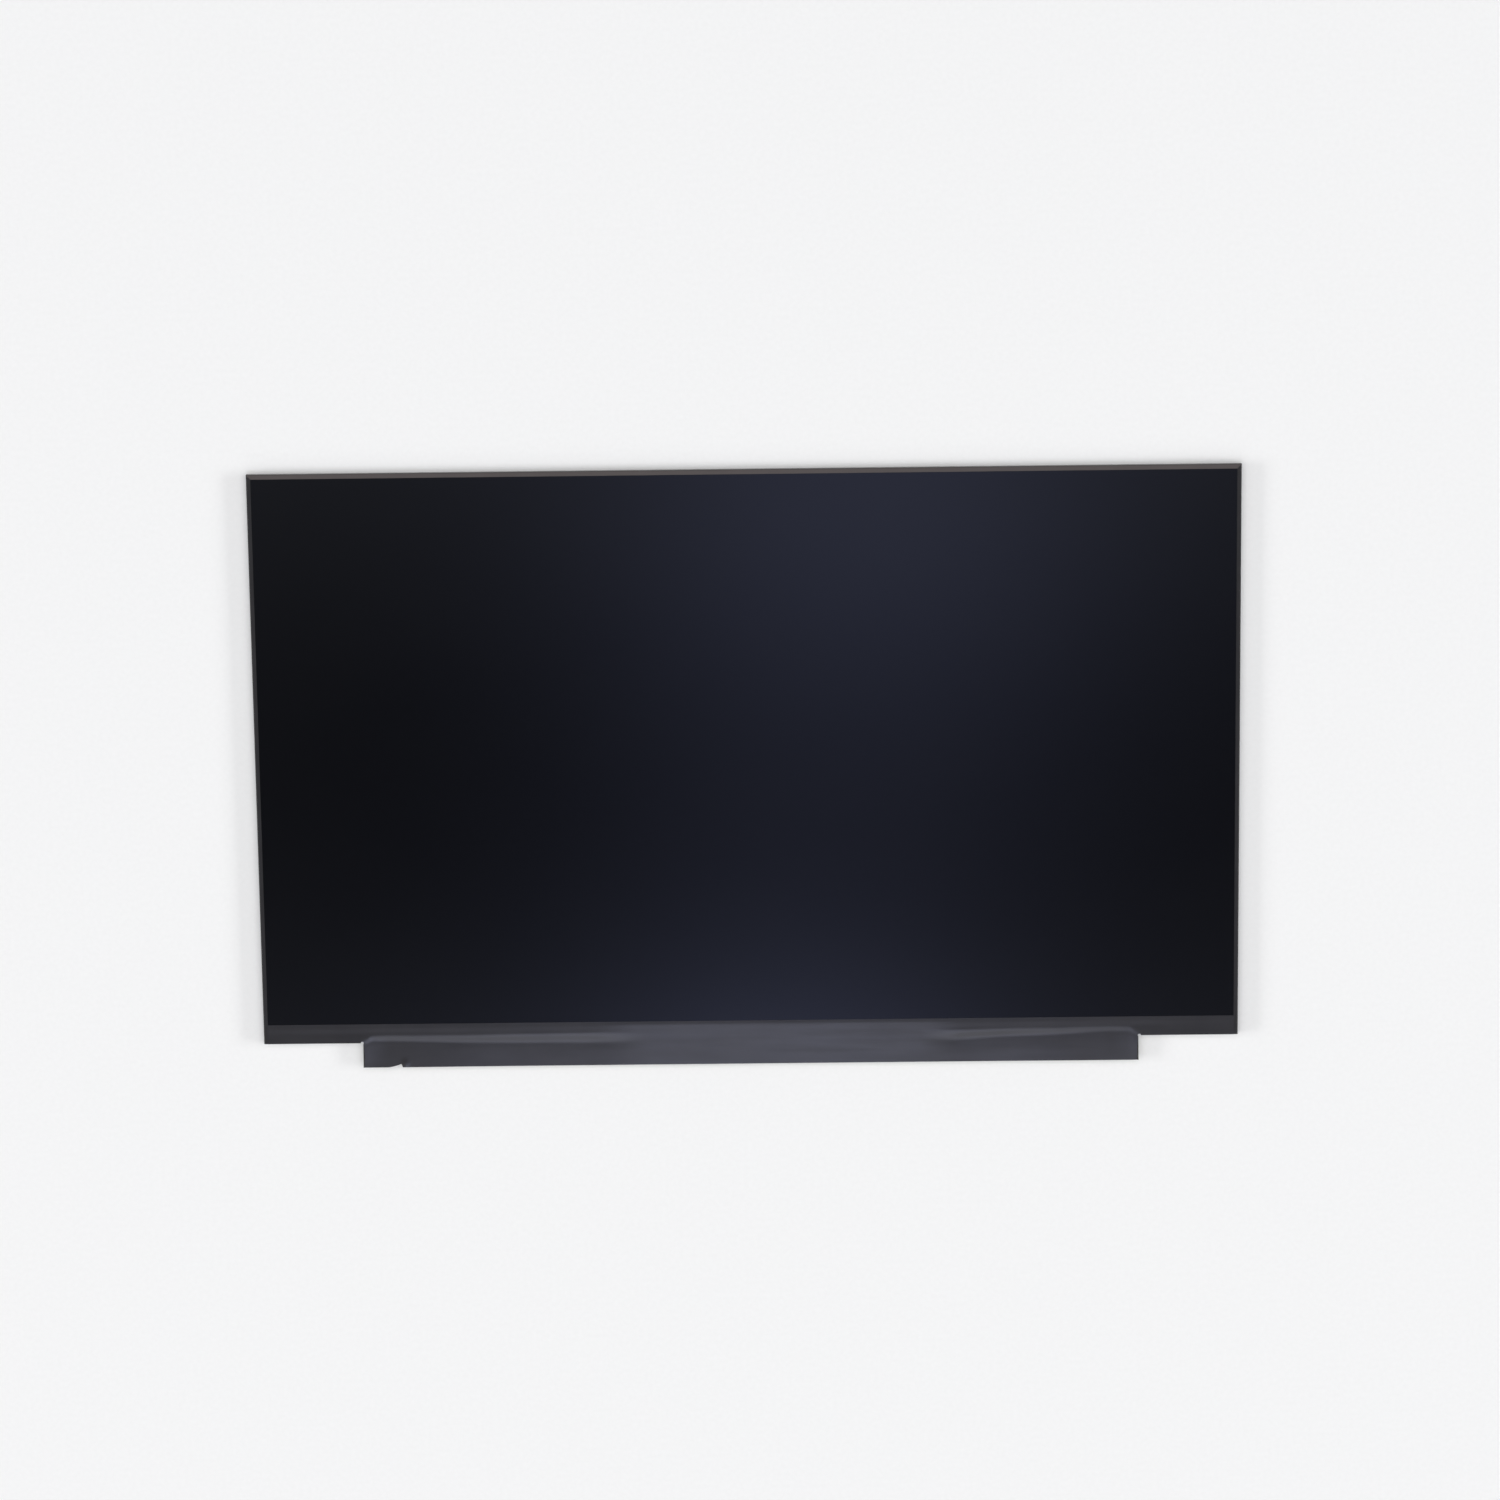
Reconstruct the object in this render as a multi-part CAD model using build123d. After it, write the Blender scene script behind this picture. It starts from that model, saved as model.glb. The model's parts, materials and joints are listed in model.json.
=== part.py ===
from build123d import *

import os

# Laptop screen panel: an edge-lit LCD module with its driver board along the lower edge.
# It lies on its back. X runs across the screen, Y towards its top edge and Z out of the glass.
# The origin is the centre of the rear face, which is the face that is glued into a lid.
# All sizes are millimetres. A name ending in _X, _Y or _Z is a place, and other names are sizes.

# Picture area and the borders round it
ACTIVE_W = 344.16
ACTIVE_H = 193.59
SIDE_BORDER = 3.25
TOP_BORDER = 3.25
BOTTOM_BORDER = 10.11

# Pressed back plate, whose middle field stands proud of its border
PLATE_T = 0.25
PLATE_BEND_R = 0.20
FIELD_STEP = 0.15
FIELD_DRAFT = 0.50
FIELD_BORDER = 6.00
FIELD_CORNER_R = 5.00
FLANGE_DROP = 0.20
FLANGE_CORNER_GAP = 3.00

# Moulded frame and the hooks that hold it in the plate
FRAME_FIT = 0.05
FRAME_WALL = 1.40
FRAME_CORNER_R = 0.60
RAIL_W = 5.60
LIP_T = 0.35
LIP_GAP = 0.05
HOOK_L = 6.00
HOOK_H = 0.40
HOOK_PROUD = 0.18
HOOK_FIT = 0.30
HOOK_INSET = 24.00
TOP_HOOKS = 6
SIDE_HOOKS = 4

# Light guide, reflector and optical films, with ears that sit in pockets of the frame
REFLECTOR_T = 0.12
GUIDE_T = 0.55
GUIDE_FIT = 0.15
DIFFUSER_T = 0.11
PRISM_T = 0.14
FILM_ROOM = 0.05
FILM_SETBACK = 1.20
EAR_L = 10.00
EAR_D = 0.90
EAR_FIT = 0.20
EAR_INSET = 62.00

# LED bar
LED_COUNT = 42
LED_L = 3.80
LED_D = 1.00
LED_H = 0.50
LED_WINDOW_RIM = 0.08
LED_WINDOW_END = 0.24
LED_WINDOW_D = 0.15
LED_GAP = 0.10
LED_TAPE_T = 0.05
LED_FLEX_T = 0.10
LED_FLEX_W = 3.20
LED_END_GAP = 0.65
TAIL_W = 12.00
TAIL_INSET = 19.60
TAIL_PAD = 3.00
TAIL_RISE_RUN = 1.90
TAIL_FIT = 0.40

# Liquid crystal cell
RIM_TAPE_T = 0.06
RIM_TAPE_INSET = 0.10
RIM_WINDOW_GAP = 0.50
REAR_POLARISER_T = 0.13
FRONT_POLARISER_T = 0.17
GLASS_T = 0.30
GLASS_INSET = 0.45
GLASS_CORNER = 0.80
GLASS_SETBACK = 3.00
LEDGE_W = 2.20
REAR_POLARISER_INSET = 0.50
FRONT_POLARISER_INSET = 0.60

# Black tape round the top and side edges, and over the lower edge and the board
TAPE_T = 0.08
TAPE_BEND_R = 0.15
RIM_TOP_W = 1.60
RIM_SIDE_W = 1.55
RIM_GAP = 0.10
REAR_LEG_W = 4.00
BAND_H = 7.00
STRIP_SHOULDER = 35.655
STRIP_DROP = 9.20
SLIT_W = 0.30
RELIEF_R = 0.55
TAPE_LIFT = 0.02
TAPE_OVERHANG = 0.15
TAPE_DROP_RUN = 1.20
TEAR_L = 5.60
TEAR_D = 1.25
TEAR_LIP = 0.50
TEAR_SAG_L = 2.80
TEAR_SAG_D = 0.375

# Driver films with their chips
FILM_COUNT = 4
FILM_T = 0.04
FILM_W = 44.00
FILM_NECK_W = 37.00
FILM_END = 3.30
FILM_START = 0.50
FILM_LAND_GAP = 0.05
BOND_W = 1.60
DRIVER_L = 22.00
DRIVER_W = 1.30
DRIVER_T = 0.40
DRIVER_GAP = 0.25
DRIVER_ROOM = 0.20
BLOCK_GAP = 1.50

# Driver board
BOARD_T = 0.50
BOARD_GAP = 0.30
BOARD_INSET = 0.40
BOARD_CORNER = 0.80
BOARD_REST = 0.20
NOTCH_L = 5.50
NOTCH_D = 1.60
NOTCH_R = 0.60
NOTCH_INSET = 11.00

# Display connector
PIN_COUNT = 30
PIN_PITCH = 0.50
PIN_W = 0.20
PIN_T = 0.12
PIN_TAIL = 0.80
PIN_SETBACK = 0.40
CONNECTOR_INSET = 26.80
CONNECTOR_SETBACK = 0.90
HOUSING_D = 4.20
HOUSING_H = 0.90
HOUSING_CHEEK = 2.40
MOUTH_D = 2.60
MOUTH_H = 0.42
MOUTH_FLOOR = 0.26
SHELL_T = 0.15
SHELL_SETBACK = 0.80
SHELL_FOOT = 0.90
SHELL_WINDOW_L = 2.20
SHELL_WINDOW_W = 1.00

# Parts soldered to the board: length, width and height of each kind
CONTROLLER_SIZE = (6.00, 6.00, 0.85)
MEMORY_SIZE = (3.00, 2.00, 0.60)
POWER_SIZE = (5.00, 5.00, 0.75)
GAMMA_SIZE = (4.00, 4.00, 0.75)
SHIFTER_SIZE = (4.00, 4.00, 0.75)
BACKLIGHT_SIZE = (4.00, 4.00, 0.75)
POWER_COIL_SIZE = (3.00, 3.00, 1.00)
BACKLIGHT_COIL_SIZE = (4.00, 4.00, 1.00)
DIODE_SIZE = (2.60, 1.60, 0.95)
DIODE_LEAD = (0.55, 0.90, 0.20)
FUSE_SIZE = (1.60, 0.80, 0.60)
LARGE_CAPACITOR_SIZE = (2.00, 1.25, 0.85)
SMALL_CAPACITOR_SIZE = (1.00, 0.50, 0.50)
RESISTOR_SIZE = (1.00, 0.50, 0.35)
PART_GAP = 0.60
SMALL_ROWS = 4
SMALL_ROW_PITCH = 1.40
LARGE_ROW_PITCH = 2.90
COIL_CORNER = 0.70
COIL_GROOVE_W = 0.25
COIL_GROOVE_D = 0.08
COIL_RING_INSET = 0.50
PIN_MARK_R = 0.22
PIN_MARK_D = 0.06
PIN_MARK_INSET = 0.55

# Foil that earths the board to the back plate
FOIL_T = 0.06
FOIL_W = 10.00
FOIL_PLATE_LEG = 4.00
FOIL_BOARD_LEG = 1.50
FOIL_CLEAR = 0.05
FOIL_RISE_RUN = 1.65

# Heights closer than this count as one level
LEVEL_TOLERANCE = 0.001

# Edges of the panel and of the picture
PANEL_H = ACTIVE_H + TOP_BORDER + BOTTOM_BORDER
HALF_W = ACTIVE_W / 2 + SIDE_BORDER
TOP_Y = PANEL_H / 2
BOTTOM_Y = -PANEL_H / 2
ACTIVE_TOP_Y = TOP_Y - TOP_BORDER
ACTIVE_BOTTOM_Y = ACTIVE_TOP_Y - ACTIVE_H

# Levels of the layers, from the rear face forwards
BORDER_Z = FIELD_STEP
FLOOR_Z = BORDER_Z + PLATE_T
GUIDE_Z = FLOOR_Z + REFLECTOR_T
DIFFUSER_Z = GUIDE_Z + GUIDE_T
LOWER_PRISM_Z = DIFFUSER_Z + DIFFUSER_T
UPPER_PRISM_Z = LOWER_PRISM_Z + PRISM_T
LED_FLEX_Z = FLOOR_Z + LED_TAPE_T
LED_Z = LED_FLEX_Z + LED_FLEX_T
LIP_Z = max(DIFFUSER_Z, LED_Z + LED_H) + LIP_GAP
SHELF_Z = max(UPPER_PRISM_Z + PRISM_T + FILM_ROOM, LIP_Z + LIP_T)
REAR_POLARISER_Z = SHELF_Z + RIM_TAPE_T
ARRAY_Z = REAR_POLARISER_Z + REAR_POLARISER_T
FILTER_Z = ARRAY_Z + GLASS_T
FRONT_POLARISER_Z = FILTER_Z + GLASS_T
FRONT_Z = FRONT_POLARISER_Z + FRONT_POLARISER_T
FLANGE_TOP_Z = SHELF_Z - FLANGE_DROP

# Walls from the outside inwards: edge tape, plate flange, frame, light guide
FLANGE_X = HALF_W - TAPE_T
FLANGE_TOP_Y = TOP_Y - TAPE_T
FRAME_X = FLANGE_X - PLATE_T - FRAME_FIT
FRAME_TOP_Y = FLANGE_TOP_Y - PLATE_T - FRAME_FIT
FRAME_BOTTOM_Y = BOTTOM_Y + PLATE_T + FRAME_FIT
WINDOW_X = FRAME_X - FRAME_WALL
WINDOW_TOP_Y = FRAME_TOP_Y - FRAME_WALL
RAIL_Y = FRAME_BOTTOM_Y + RAIL_W
LED_FRONT_Y = RAIL_Y + LED_GAP + LED_D
GUIDE_X = WINDOW_X - GUIDE_FIT
GUIDE_TOP_Y = WINDOW_TOP_Y - GUIDE_FIT
GUIDE_BOTTOM_Y = LED_FRONT_Y + LED_GAP
FILM_BOTTOM_Y = GUIDE_BOTTOM_Y + FILM_SETBACK
LIP_Y = FILM_BOTTOM_Y - GUIDE_FIT
LED_FLEX_TOP_Y = LED_FRONT_Y + LED_GAP / 2
LED_FLEX_BOTTOM_Y = LED_FLEX_TOP_Y - LED_FLEX_W

# Glass, polarisers and the band of tape below the picture
GLASS_X = HALF_W - GLASS_INSET
GLASS_TOP_Y = TOP_Y - GLASS_INSET
ARRAY_BOTTOM_Y = BOTTOM_Y + GLASS_SETBACK
FILTER_BOTTOM_Y = ARRAY_BOTTOM_Y + LEDGE_W
POLARISER_X = HALF_W - RIM_SIDE_W - RIM_GAP
POLARISER_TOP_Y = TOP_Y - RIM_TOP_W - RIM_GAP
POLARISER_BOTTOM_Y = FILTER_BOTTOM_Y + FRONT_POLARISER_INSET
BAND_TOP_Y = BOTTOM_Y + BAND_H
SLIT_TOP_Y = FILTER_BOTTOM_Y - TAPE_OVERHANG
STRIP_X = HALF_W - STRIP_SHOULDER
STRIP_BOTTOM_Y = BOTTOM_Y - STRIP_DROP

# Board, set forward so that its tallest part stays clear of the face that the panel lies on
SOLDERED_SIZES = (
    CONTROLLER_SIZE, MEMORY_SIZE, POWER_SIZE, GAMMA_SIZE, SHIFTER_SIZE, BACKLIGHT_SIZE, POWER_COIL_SIZE,
    BACKLIGHT_COIL_SIZE, DIODE_SIZE, FUSE_SIZE, LARGE_CAPACITOR_SIZE, SMALL_CAPACITOR_SIZE, RESISTOR_SIZE,
)
TALLEST_PART = max(HOUSING_H + SHELL_T, *(size[2] for size in SOLDERED_SIZES))
BOARD_Z = TALLEST_PART + BOARD_REST
BOARD_FRONT_Z = BOARD_Z + BOARD_T
BOARD_X = STRIP_X - BOARD_INSET
BOARD_TOP_Y = BOTTOM_Y - BOARD_GAP
BOARD_BOTTOM_Y = STRIP_BOTTOM_Y + TAPE_OVERHANG
BOARD_MID_Y = (BOARD_TOP_Y + BOARD_BOTTOM_Y) / 2
NOTCH_X = BOARD_X - NOTCH_INSET
CONNECTOR_X = -BOARD_X + CONNECTOR_INSET
CONNECTOR_HALF = (PIN_COUNT - 1) * PIN_PITCH / 2 + HOUSING_CHEEK
TAIL_X = BOARD_X - TAIL_INSET
MOUTH_Y = BOARD_BOTTOM_Y + CONNECTOR_SETBACK
HOUSING_BACK_Y = MOUTH_Y + HOUSING_D

# Driver films: level on the glass ledge and under the chip, then down to the board
FILM_TOP_Y = FILTER_BOTTOM_Y - FILM_START
DRIVER_TOP_Y = ARRAY_BOTTOM_Y - DRIVER_GAP
FILM_BEND_Y = DRIVER_TOP_Y - DRIVER_W - DRIVER_GAP
FILM_LAND_Y = BOARD_TOP_Y + FILM_LAND_GAP
BOND_BOTTOM_Y = BOARD_TOP_Y - BOND_W
WELL_Y = ARRAY_BOTTOM_Y - DRIVER_GAP
WELL_Z = min(SHELF_Z, FILTER_Z - DRIVER_T - DRIVER_ROOM)
WELL_X = STRIP_X + BLOCK_GAP

# Board layout: equal bays between the connector and the LED tail, one chip in the middle of each
CHIP_SIZES = (CONTROLLER_SIZE, MEMORY_SIZE, POWER_SIZE, GAMMA_SIZE, SHIFTER_SIZE, BACKLIGHT_SIZE)
BAY_LEFT_X = CONNECTOR_X + CONNECTOR_HALF
BAY_W = (TAIL_X - TAIL_W / 2 - BAY_LEFT_X) / len(CHIP_SIZES)
CHIP_XS = [BAY_LEFT_X + BAY_W * (i + 0.5) for i in range(len(CHIP_SIZES))]
JOINT_XS = [BAY_LEFT_X + BAY_W * (i + 1) for i in range(len(CHIP_SIZES) - 1)]
FOIL_XS = (JOINT_XS[0], JOINT_XS[2], JOINT_XS[3])


# Helpers

def block(x0, x1, y0, y1, z0, z1):
    """Solid block between two opposite corners."""
    return Pos((x0 + x1) / 2, (y0 + y1) / 2, (z0 + z1) / 2) * Box(x1 - x0, y1 - y0, z1 - z0)


def rectangle(x0, x1, y0, y1):
    """Flat rectangle between two opposite corners."""
    return Pos((x0 + x1) / 2, (y0 + y1) / 2) * Rectangle(x1 - x0, y1 - y0)


def sheet(outline, z, thickness):
    """Flat sheet of an outline, with its rear face at z."""
    return extrude(Pos(0, 0, z) * outline, thickness)


def s_curve(start, end):
    """Two equal arcs that leave start and reach end level, or a line where both are at one height."""
    if abs(start[1] - end[1]) < LEVEL_TOLERANCE:
        return [Line(start, end)]
    middle = ((start[0] + end[0]) / 2, (start[1] + end[1]) / 2)
    onward = (end[0] - start[0], 0)
    back = (start[0] - end[0], 0)
    return [TangentArc(start, middle, tangent=onward), TangentArc(end, middle, tangent=back)]


def draped_strip(x0, x1, flats, thickness):
    """Thin strip that lies on level flats and passes from one to the next in an S-curve.

    Each flat is (first y, last y, z of its rear face), in order along the strip.
    """
    def path(lift):
        edges = []
        for i, (start, end, z) in enumerate(flats):
            edges.append(Line((start, z + lift), (end, z + lift)))
            if i + 1 < len(flats):
                next_start, _, next_z = flats[i + 1]
                edges += s_curve((end, z + lift), (next_start, next_z + lift))
        return edges

    first, last = flats[0], flats[-1]
    ends = [
        Line((first[0], first[2]), (first[0], first[2] + thickness)),
        Line((last[1], last[2]), (last[1], last[2] + thickness)),
    ]
    profile = Plane.YZ * make_face(path(0) + path(thickness) + ends)
    return extrude(Pos(x0, 0, 0) * profile, x1 - x0, dir=(1, 0, 0))


def spread(half, count):
    """Places of count things spread evenly from -half to half."""
    return [half * (2 * i / (count - 1) - 1) for i in range(count)]


def group(solids):
    """Separate solids that share one node."""
    return Compound([solid for shape in solids for solid in shape.solids()])


# Back plate and frame

def hook_sites():
    """Middle of each hook on the frame's outer faces, with the way that it points."""
    top = [(x, FRAME_TOP_Y, 0, 1) for x in spread(FRAME_X - HOOK_INSET, TOP_HOOKS)]
    side_ys = spread(FRAME_TOP_Y - HOOK_INSET, SIDE_HOOKS)
    return top + [(s * FRAME_X, y, s, 0) for s in (-1, 1) for y in side_ys]


def hook(site, reach, margin):
    """Hook of the frame, or its window in the flange when reach and margin are larger."""
    x, y, dx, dy = site
    half_l = HOOK_L / 2 + margin
    half_x = half_l if dy else reach
    half_y = half_l if dx else reach
    mid_z = (FLOOR_Z + FLANGE_TOP_Z) / 2
    half_h = (HOOK_H + margin) / 2
    return block(x - half_x, x + half_x, y - half_y, y + half_y, mid_z - half_h, mid_z + half_h)


def plate_field(z_outer, z_inner):
    """Sunk or raised middle of the plate, wider at z_outer than at z_inner."""
    wide = RectangleRounded(2 * (HALF_W - FIELD_BORDER), 2 * (TOP_Y - FIELD_BORDER), FIELD_CORNER_R)
    run = 2 * FIELD_DRAFT
    narrow = RectangleRounded(
        2 * (HALF_W - FIELD_BORDER) - run, 2 * (TOP_Y - FIELD_BORDER) - run, FIELD_CORNER_R - FIELD_DRAFT)
    return loft([Pos(0, 0, z_outer) * wide, Pos(0, 0, z_inner) * narrow], ruled=True)


def back_plate():
    """Aluminium tray: folded flanges with open corners, hook windows and a raised field."""
    plate = block(-FLANGE_X, FLANGE_X, BOTTOM_Y, FLANGE_TOP_Y, BORDER_Z, FLANGE_TOP_Z)
    plate = fillet(plate.edges().group_by(Axis.Z)[0], PLATE_BEND_R)
    inside_x = FLANGE_X - PLATE_T
    plate -= block(-inside_x, inside_x, BOTTOM_Y + PLATE_T, FLANGE_TOP_Y - PLATE_T, FLOOR_Z, FLANGE_TOP_Z)
    for side in (-1, 1):
        inner_x, outer_x = sorted((side * (FLANGE_X - FLANGE_CORNER_GAP), side * FLANGE_X))
        for low_y in (BOTTOM_Y, FLANGE_TOP_Y - FLANGE_CORNER_GAP):
            plate -= block(inner_x, outer_x, low_y, low_y + FLANGE_CORNER_GAP, FLOOR_Z, FLANGE_TOP_Z)
    plate += plate_field(BORDER_Z, 0)
    plate -= plate_field(FLOOR_Z, PLATE_T)
    for site in hook_sites():
        plate -= hook(site, FRAME_FIT + PLATE_T + HOOK_FIT, HOOK_FIT)
    plate -= tail_slot(BOTTOM_Y, FRAME_BOTTOM_Y, FLANGE_TOP_Z)
    return plate


def tail_slot(y0, y1, top_z):
    """Way out for the LED tail."""
    half = TAIL_W / 2 + TAIL_FIT
    return block(TAIL_X - half, TAIL_X + half, y0, y1, FLOOR_Z, top_z)


def ears(grow):
    """Ears on the upper and side edges of the films, or their pockets when grown."""
    half = EAR_L / 2 + grow
    reach = EAR_D + grow
    ear_x = GUIDE_X - EAR_INSET
    ear_y = GUIDE_TOP_Y - EAR_INSET
    shapes = []
    for side in (-1, 1):
        shapes.append(rectangle(side * ear_x - half, side * ear_x + half, ear_y, GUIDE_TOP_Y + reach))
        out_x = side * (GUIDE_X + reach)
        shapes.append(rectangle(min(0, out_x), max(0, out_x), ear_y - half, ear_y + half))
    return shapes


def mould_frame():
    """White plastic frame: thin walls, a broad lower rail over the LEDs and blocks in the lower corners."""
    outer = rectangle(-FRAME_X, FRAME_X, FRAME_BOTTOM_Y, FRAME_TOP_Y)
    outer = fillet(outer.vertices(), FRAME_CORNER_R)
    window = rectangle(-WINDOW_X, WINDOW_X, RAIL_Y, WINDOW_TOP_Y)
    frame = sheet(outer - window - ears(EAR_FIT), FLOOR_Z, SHELF_Z - FLOOR_Z)
    frame += block(-WINDOW_X, WINDOW_X, RAIL_Y, LIP_Y, LIP_Z, SHELF_Z)
    corner_blocks = outer & rectangle(-FRAME_X, FRAME_X, FRAME_BOTTOM_Y, WELL_Y)
    corner_blocks -= rectangle(-WELL_X, WELL_X, FRAME_BOTTOM_Y, WELL_Y)
    frame += sheet(corner_blocks, SHELF_Z, FRONT_POLARISER_Z - SHELF_Z)
    if WELL_Z < SHELF_Z:
        frame -= block(-WELL_X, WELL_X, FRAME_BOTTOM_Y, WELL_Y, WELL_Z, SHELF_Z)
    rebate_top_z = LED_Z + LIP_GAP
    rebate_y = LED_FLEX_BOTTOM_Y - GUIDE_FIT
    frame -= block(-WINDOW_X, WINDOW_X, rebate_y, RAIL_Y, FLOOR_Z, rebate_top_z)
    frame -= tail_slot(FRAME_BOTTOM_Y, rebate_y, rebate_top_z)
    for site in hook_sites():
        frame += hook(site, HOOK_PROUD, 0)
    return frame


# Light guide, films and LED bar

def optical_sheet(bottom_y, z, thickness):
    """Sheet with ears that fills the frame's window down to bottom_y."""
    outline = rectangle(-GUIDE_X, GUIDE_X, bottom_y, GUIDE_TOP_Y)
    return sheet(outline + ears(0), z, thickness)


def led_strip(thickness, z):
    """Strip as long as the row of LEDs."""
    half = WINDOW_X - LED_END_GAP
    return block(-half, half, LED_FLEX_BOTTOM_Y, LED_FLEX_TOP_Y, z, z + thickness)


def led_flex():
    """Flexible circuit under the LEDs, with a tail that comes out below and is soldered to the board."""
    leave_y = BOTTOM_Y - FOIL_CLEAR
    land_y = leave_y - TAIL_RISE_RUN
    flats = [
        (LED_FLEX_BOTTOM_Y, leave_y, LED_FLEX_Z),
        (land_y, land_y - TAIL_PAD, BOARD_Z - LED_FLEX_T),
    ]
    tail = draped_strip(TAIL_X - TAIL_W / 2, TAIL_X + TAIL_W / 2, flats, LED_FLEX_T)
    return led_strip(LED_FLEX_T, LED_FLEX_Z) + tail


def leds():
    """Row of side-emitting LEDs, each with a window towards the light guide."""
    pitch = ACTIVE_W / LED_COUNT
    led = block(-LED_L / 2, LED_L / 2, LED_FRONT_Y - LED_D, LED_FRONT_Y, LED_Z, LED_Z + LED_H)
    half = LED_L / 2 - LED_WINDOW_END
    low_z = LED_Z + LED_WINDOW_RIM
    high_z = LED_Z + LED_H - LED_WINDOW_RIM
    led -= block(-half, half, LED_FRONT_Y - LED_WINDOW_D, LED_FRONT_Y, low_z, high_z)
    return group([Pos(x, 0, 0) * led for x in spread((ACTIVE_W - pitch) / 2, LED_COUNT)])


# Liquid crystal cell

def glass(bottom_y, z):
    """Sheet of glass with nipped corners."""
    outline = rectangle(-GLASS_X, GLASS_X, bottom_y, GLASS_TOP_Y)
    return sheet(chamfer(outline.vertices(), GLASS_CORNER), z, GLASS_T)


def rear_polariser():
    half = GLASS_X - REAR_POLARISER_INSET
    outline = rectangle(
        -half, half, ARRAY_BOTTOM_Y + REAR_POLARISER_INSET, GLASS_TOP_Y - REAR_POLARISER_INSET)
    return sheet(outline, REAR_POLARISER_Z, REAR_POLARISER_T)


def front_polariser():
    outline = rectangle(-POLARISER_X, POLARISER_X, POLARISER_BOTTOM_Y, POLARISER_TOP_Y)
    return sheet(outline, FRONT_POLARISER_Z, FRONT_POLARISER_T)


def rim_tape():
    """Frame of double-sided tape between the moulded frame and the cell."""
    outer_x = FRAME_X - RIM_TAPE_INSET
    outer = rectangle(
        -outer_x, outer_x, ARRAY_BOTTOM_Y + RIM_TAPE_INSET, FRAME_TOP_Y - RIM_TAPE_INSET)
    inner_x = ACTIVE_W / 2 + RIM_WINDOW_GAP
    inner = rectangle(
        -inner_x, inner_x, ACTIVE_BOTTOM_Y - RIM_WINDOW_GAP, ACTIVE_TOP_Y + RIM_WINDOW_GAP)
    return sheet(outer - inner, SHELF_Z, RIM_TAPE_T)


# Tapes

def edge_profile(front_leg):
    """Section of an edge tape, outer face at 0: front leg on the glass, side, and rear leg on the plate."""
    low, high = BORDER_Z - TAPE_T, FRONT_POLARISER_Z + TAPE_T
    section = rectangle(0, front_leg, high - TAPE_T, high)
    section += rectangle(0, TAPE_T, low, high)
    section += rectangle(0, REAR_LEG_W, low, low + TAPE_T)
    return fillet(section.vertices().group_by(Axis.X)[0], TAPE_BEND_R)


def side_edge_tape(side):
    """Tape round the left (-1) or right (1) edge, whose legs stop at the top tape."""
    section = edge_profile(RIM_SIDE_W)
    if side > 0:
        section = mirror(section, Plane.YZ)
    face = Pos(side * HALF_W, BOTTOM_Y, 0) * (Plane.XZ * section)
    tape = extrude(face, PANEL_H, dir=(0, 1, 0))
    inner_x = side * (HALF_W - TAPE_T)
    span = sorted((inner_x, 0))
    middle_z = (FLOOR_Z + FRONT_POLARISER_Z) / 2
    tape -= block(*span, TOP_Y - RIM_TOP_W, TOP_Y, middle_z, FRONT_Z)
    tape -= block(*span, TOP_Y - REAR_LEG_W, TOP_Y, 0, middle_z)
    return tape


def top_edge_tape():
    """Tape round the top edge, between the two side tapes."""
    face = Plane.YZ * mirror(edge_profile(RIM_TOP_W), Plane.YZ)
    length = 2 * (HALF_W - TAPE_T)
    return extrude(Pos(-length / 2, TOP_Y, 0) * face, length, dir=(1, 0, 0))


def tape_tear():
    """Bite torn out of the tape's lower edge where the board has its first notch."""
    right = -NOTCH_X + NOTCH_L / 2
    left = right - TEAR_L
    low = STRIP_BOTTOM_Y - TAPE_T
    peak = (right - TEAR_LIP, STRIP_BOTTOM_Y + TEAR_D)
    sag = (left + TEAR_SAG_L, STRIP_BOTTOM_Y + TEAR_SAG_D)
    outline = make_face([
        Line((left, low), (left, STRIP_BOTTOM_Y)),
        ThreePointArc((left, STRIP_BOTTOM_Y), sag, peak),
        Line(peak, (right, low)),
        Line((right, low), (left, low)),
    ])
    return sheet(outline, 0, FRONT_Z + TAPE_T)


def cover_tape():
    """Black tape below the picture: level at both ends, stepping down over the driver films to the board.

    A slit with a round relief at its end parts the level ends from the stepped middle.
    """
    ledge_z = FILTER_Z + FILM_T + TAPE_LIFT
    skirt_z = BOARD_FRONT_Z + FILM_T + TAPE_LIFT
    flats = [
        (BAND_TOP_Y, SLIT_TOP_Y, FRONT_Z),
        (SLIT_TOP_Y - TAPE_DROP_RUN, FILM_BEND_Y, ledge_z),
        (FILM_LAND_Y, STRIP_BOTTOM_Y, skirt_z),
    ]
    tape = draped_strip(-STRIP_X, STRIP_X, flats, TAPE_T)
    tape -= tape_tear()
    tape += sheet(rectangle(-POLARISER_X, POLARISER_X, SLIT_TOP_Y, BAND_TOP_Y), FRONT_Z, TAPE_T)
    for side in (-1, 1):
        span = sorted((side * (STRIP_X + SLIT_W), side * POLARISER_X))
        tape += sheet(rectangle(*span, BOTTOM_Y, SLIT_TOP_Y), FRONT_Z, TAPE_T)
        relief = Pos(side * (STRIP_X + SLIT_W / 2), BOTTOM_Y) * Circle(RELIEF_R)
        tape -= sheet(relief, 0, FRONT_Z + TAPE_T)
    return tape


def ground_tapes():
    """Strips of foil from the plate's border to the board's rear face."""
    leave_y = BOTTOM_Y - FOIL_CLEAR
    land_y = leave_y - FOIL_RISE_RUN
    flats = [
        (BOTTOM_Y + FOIL_PLATE_LEG, leave_y, BORDER_Z - FOIL_T),
        (land_y, land_y - FOIL_BOARD_LEG, BOARD_Z - FOIL_T),
    ]
    return group([draped_strip(x - FOIL_W / 2, x + FOIL_W / 2, flats, FOIL_T) for x in FOIL_XS])


# Driver films

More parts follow.
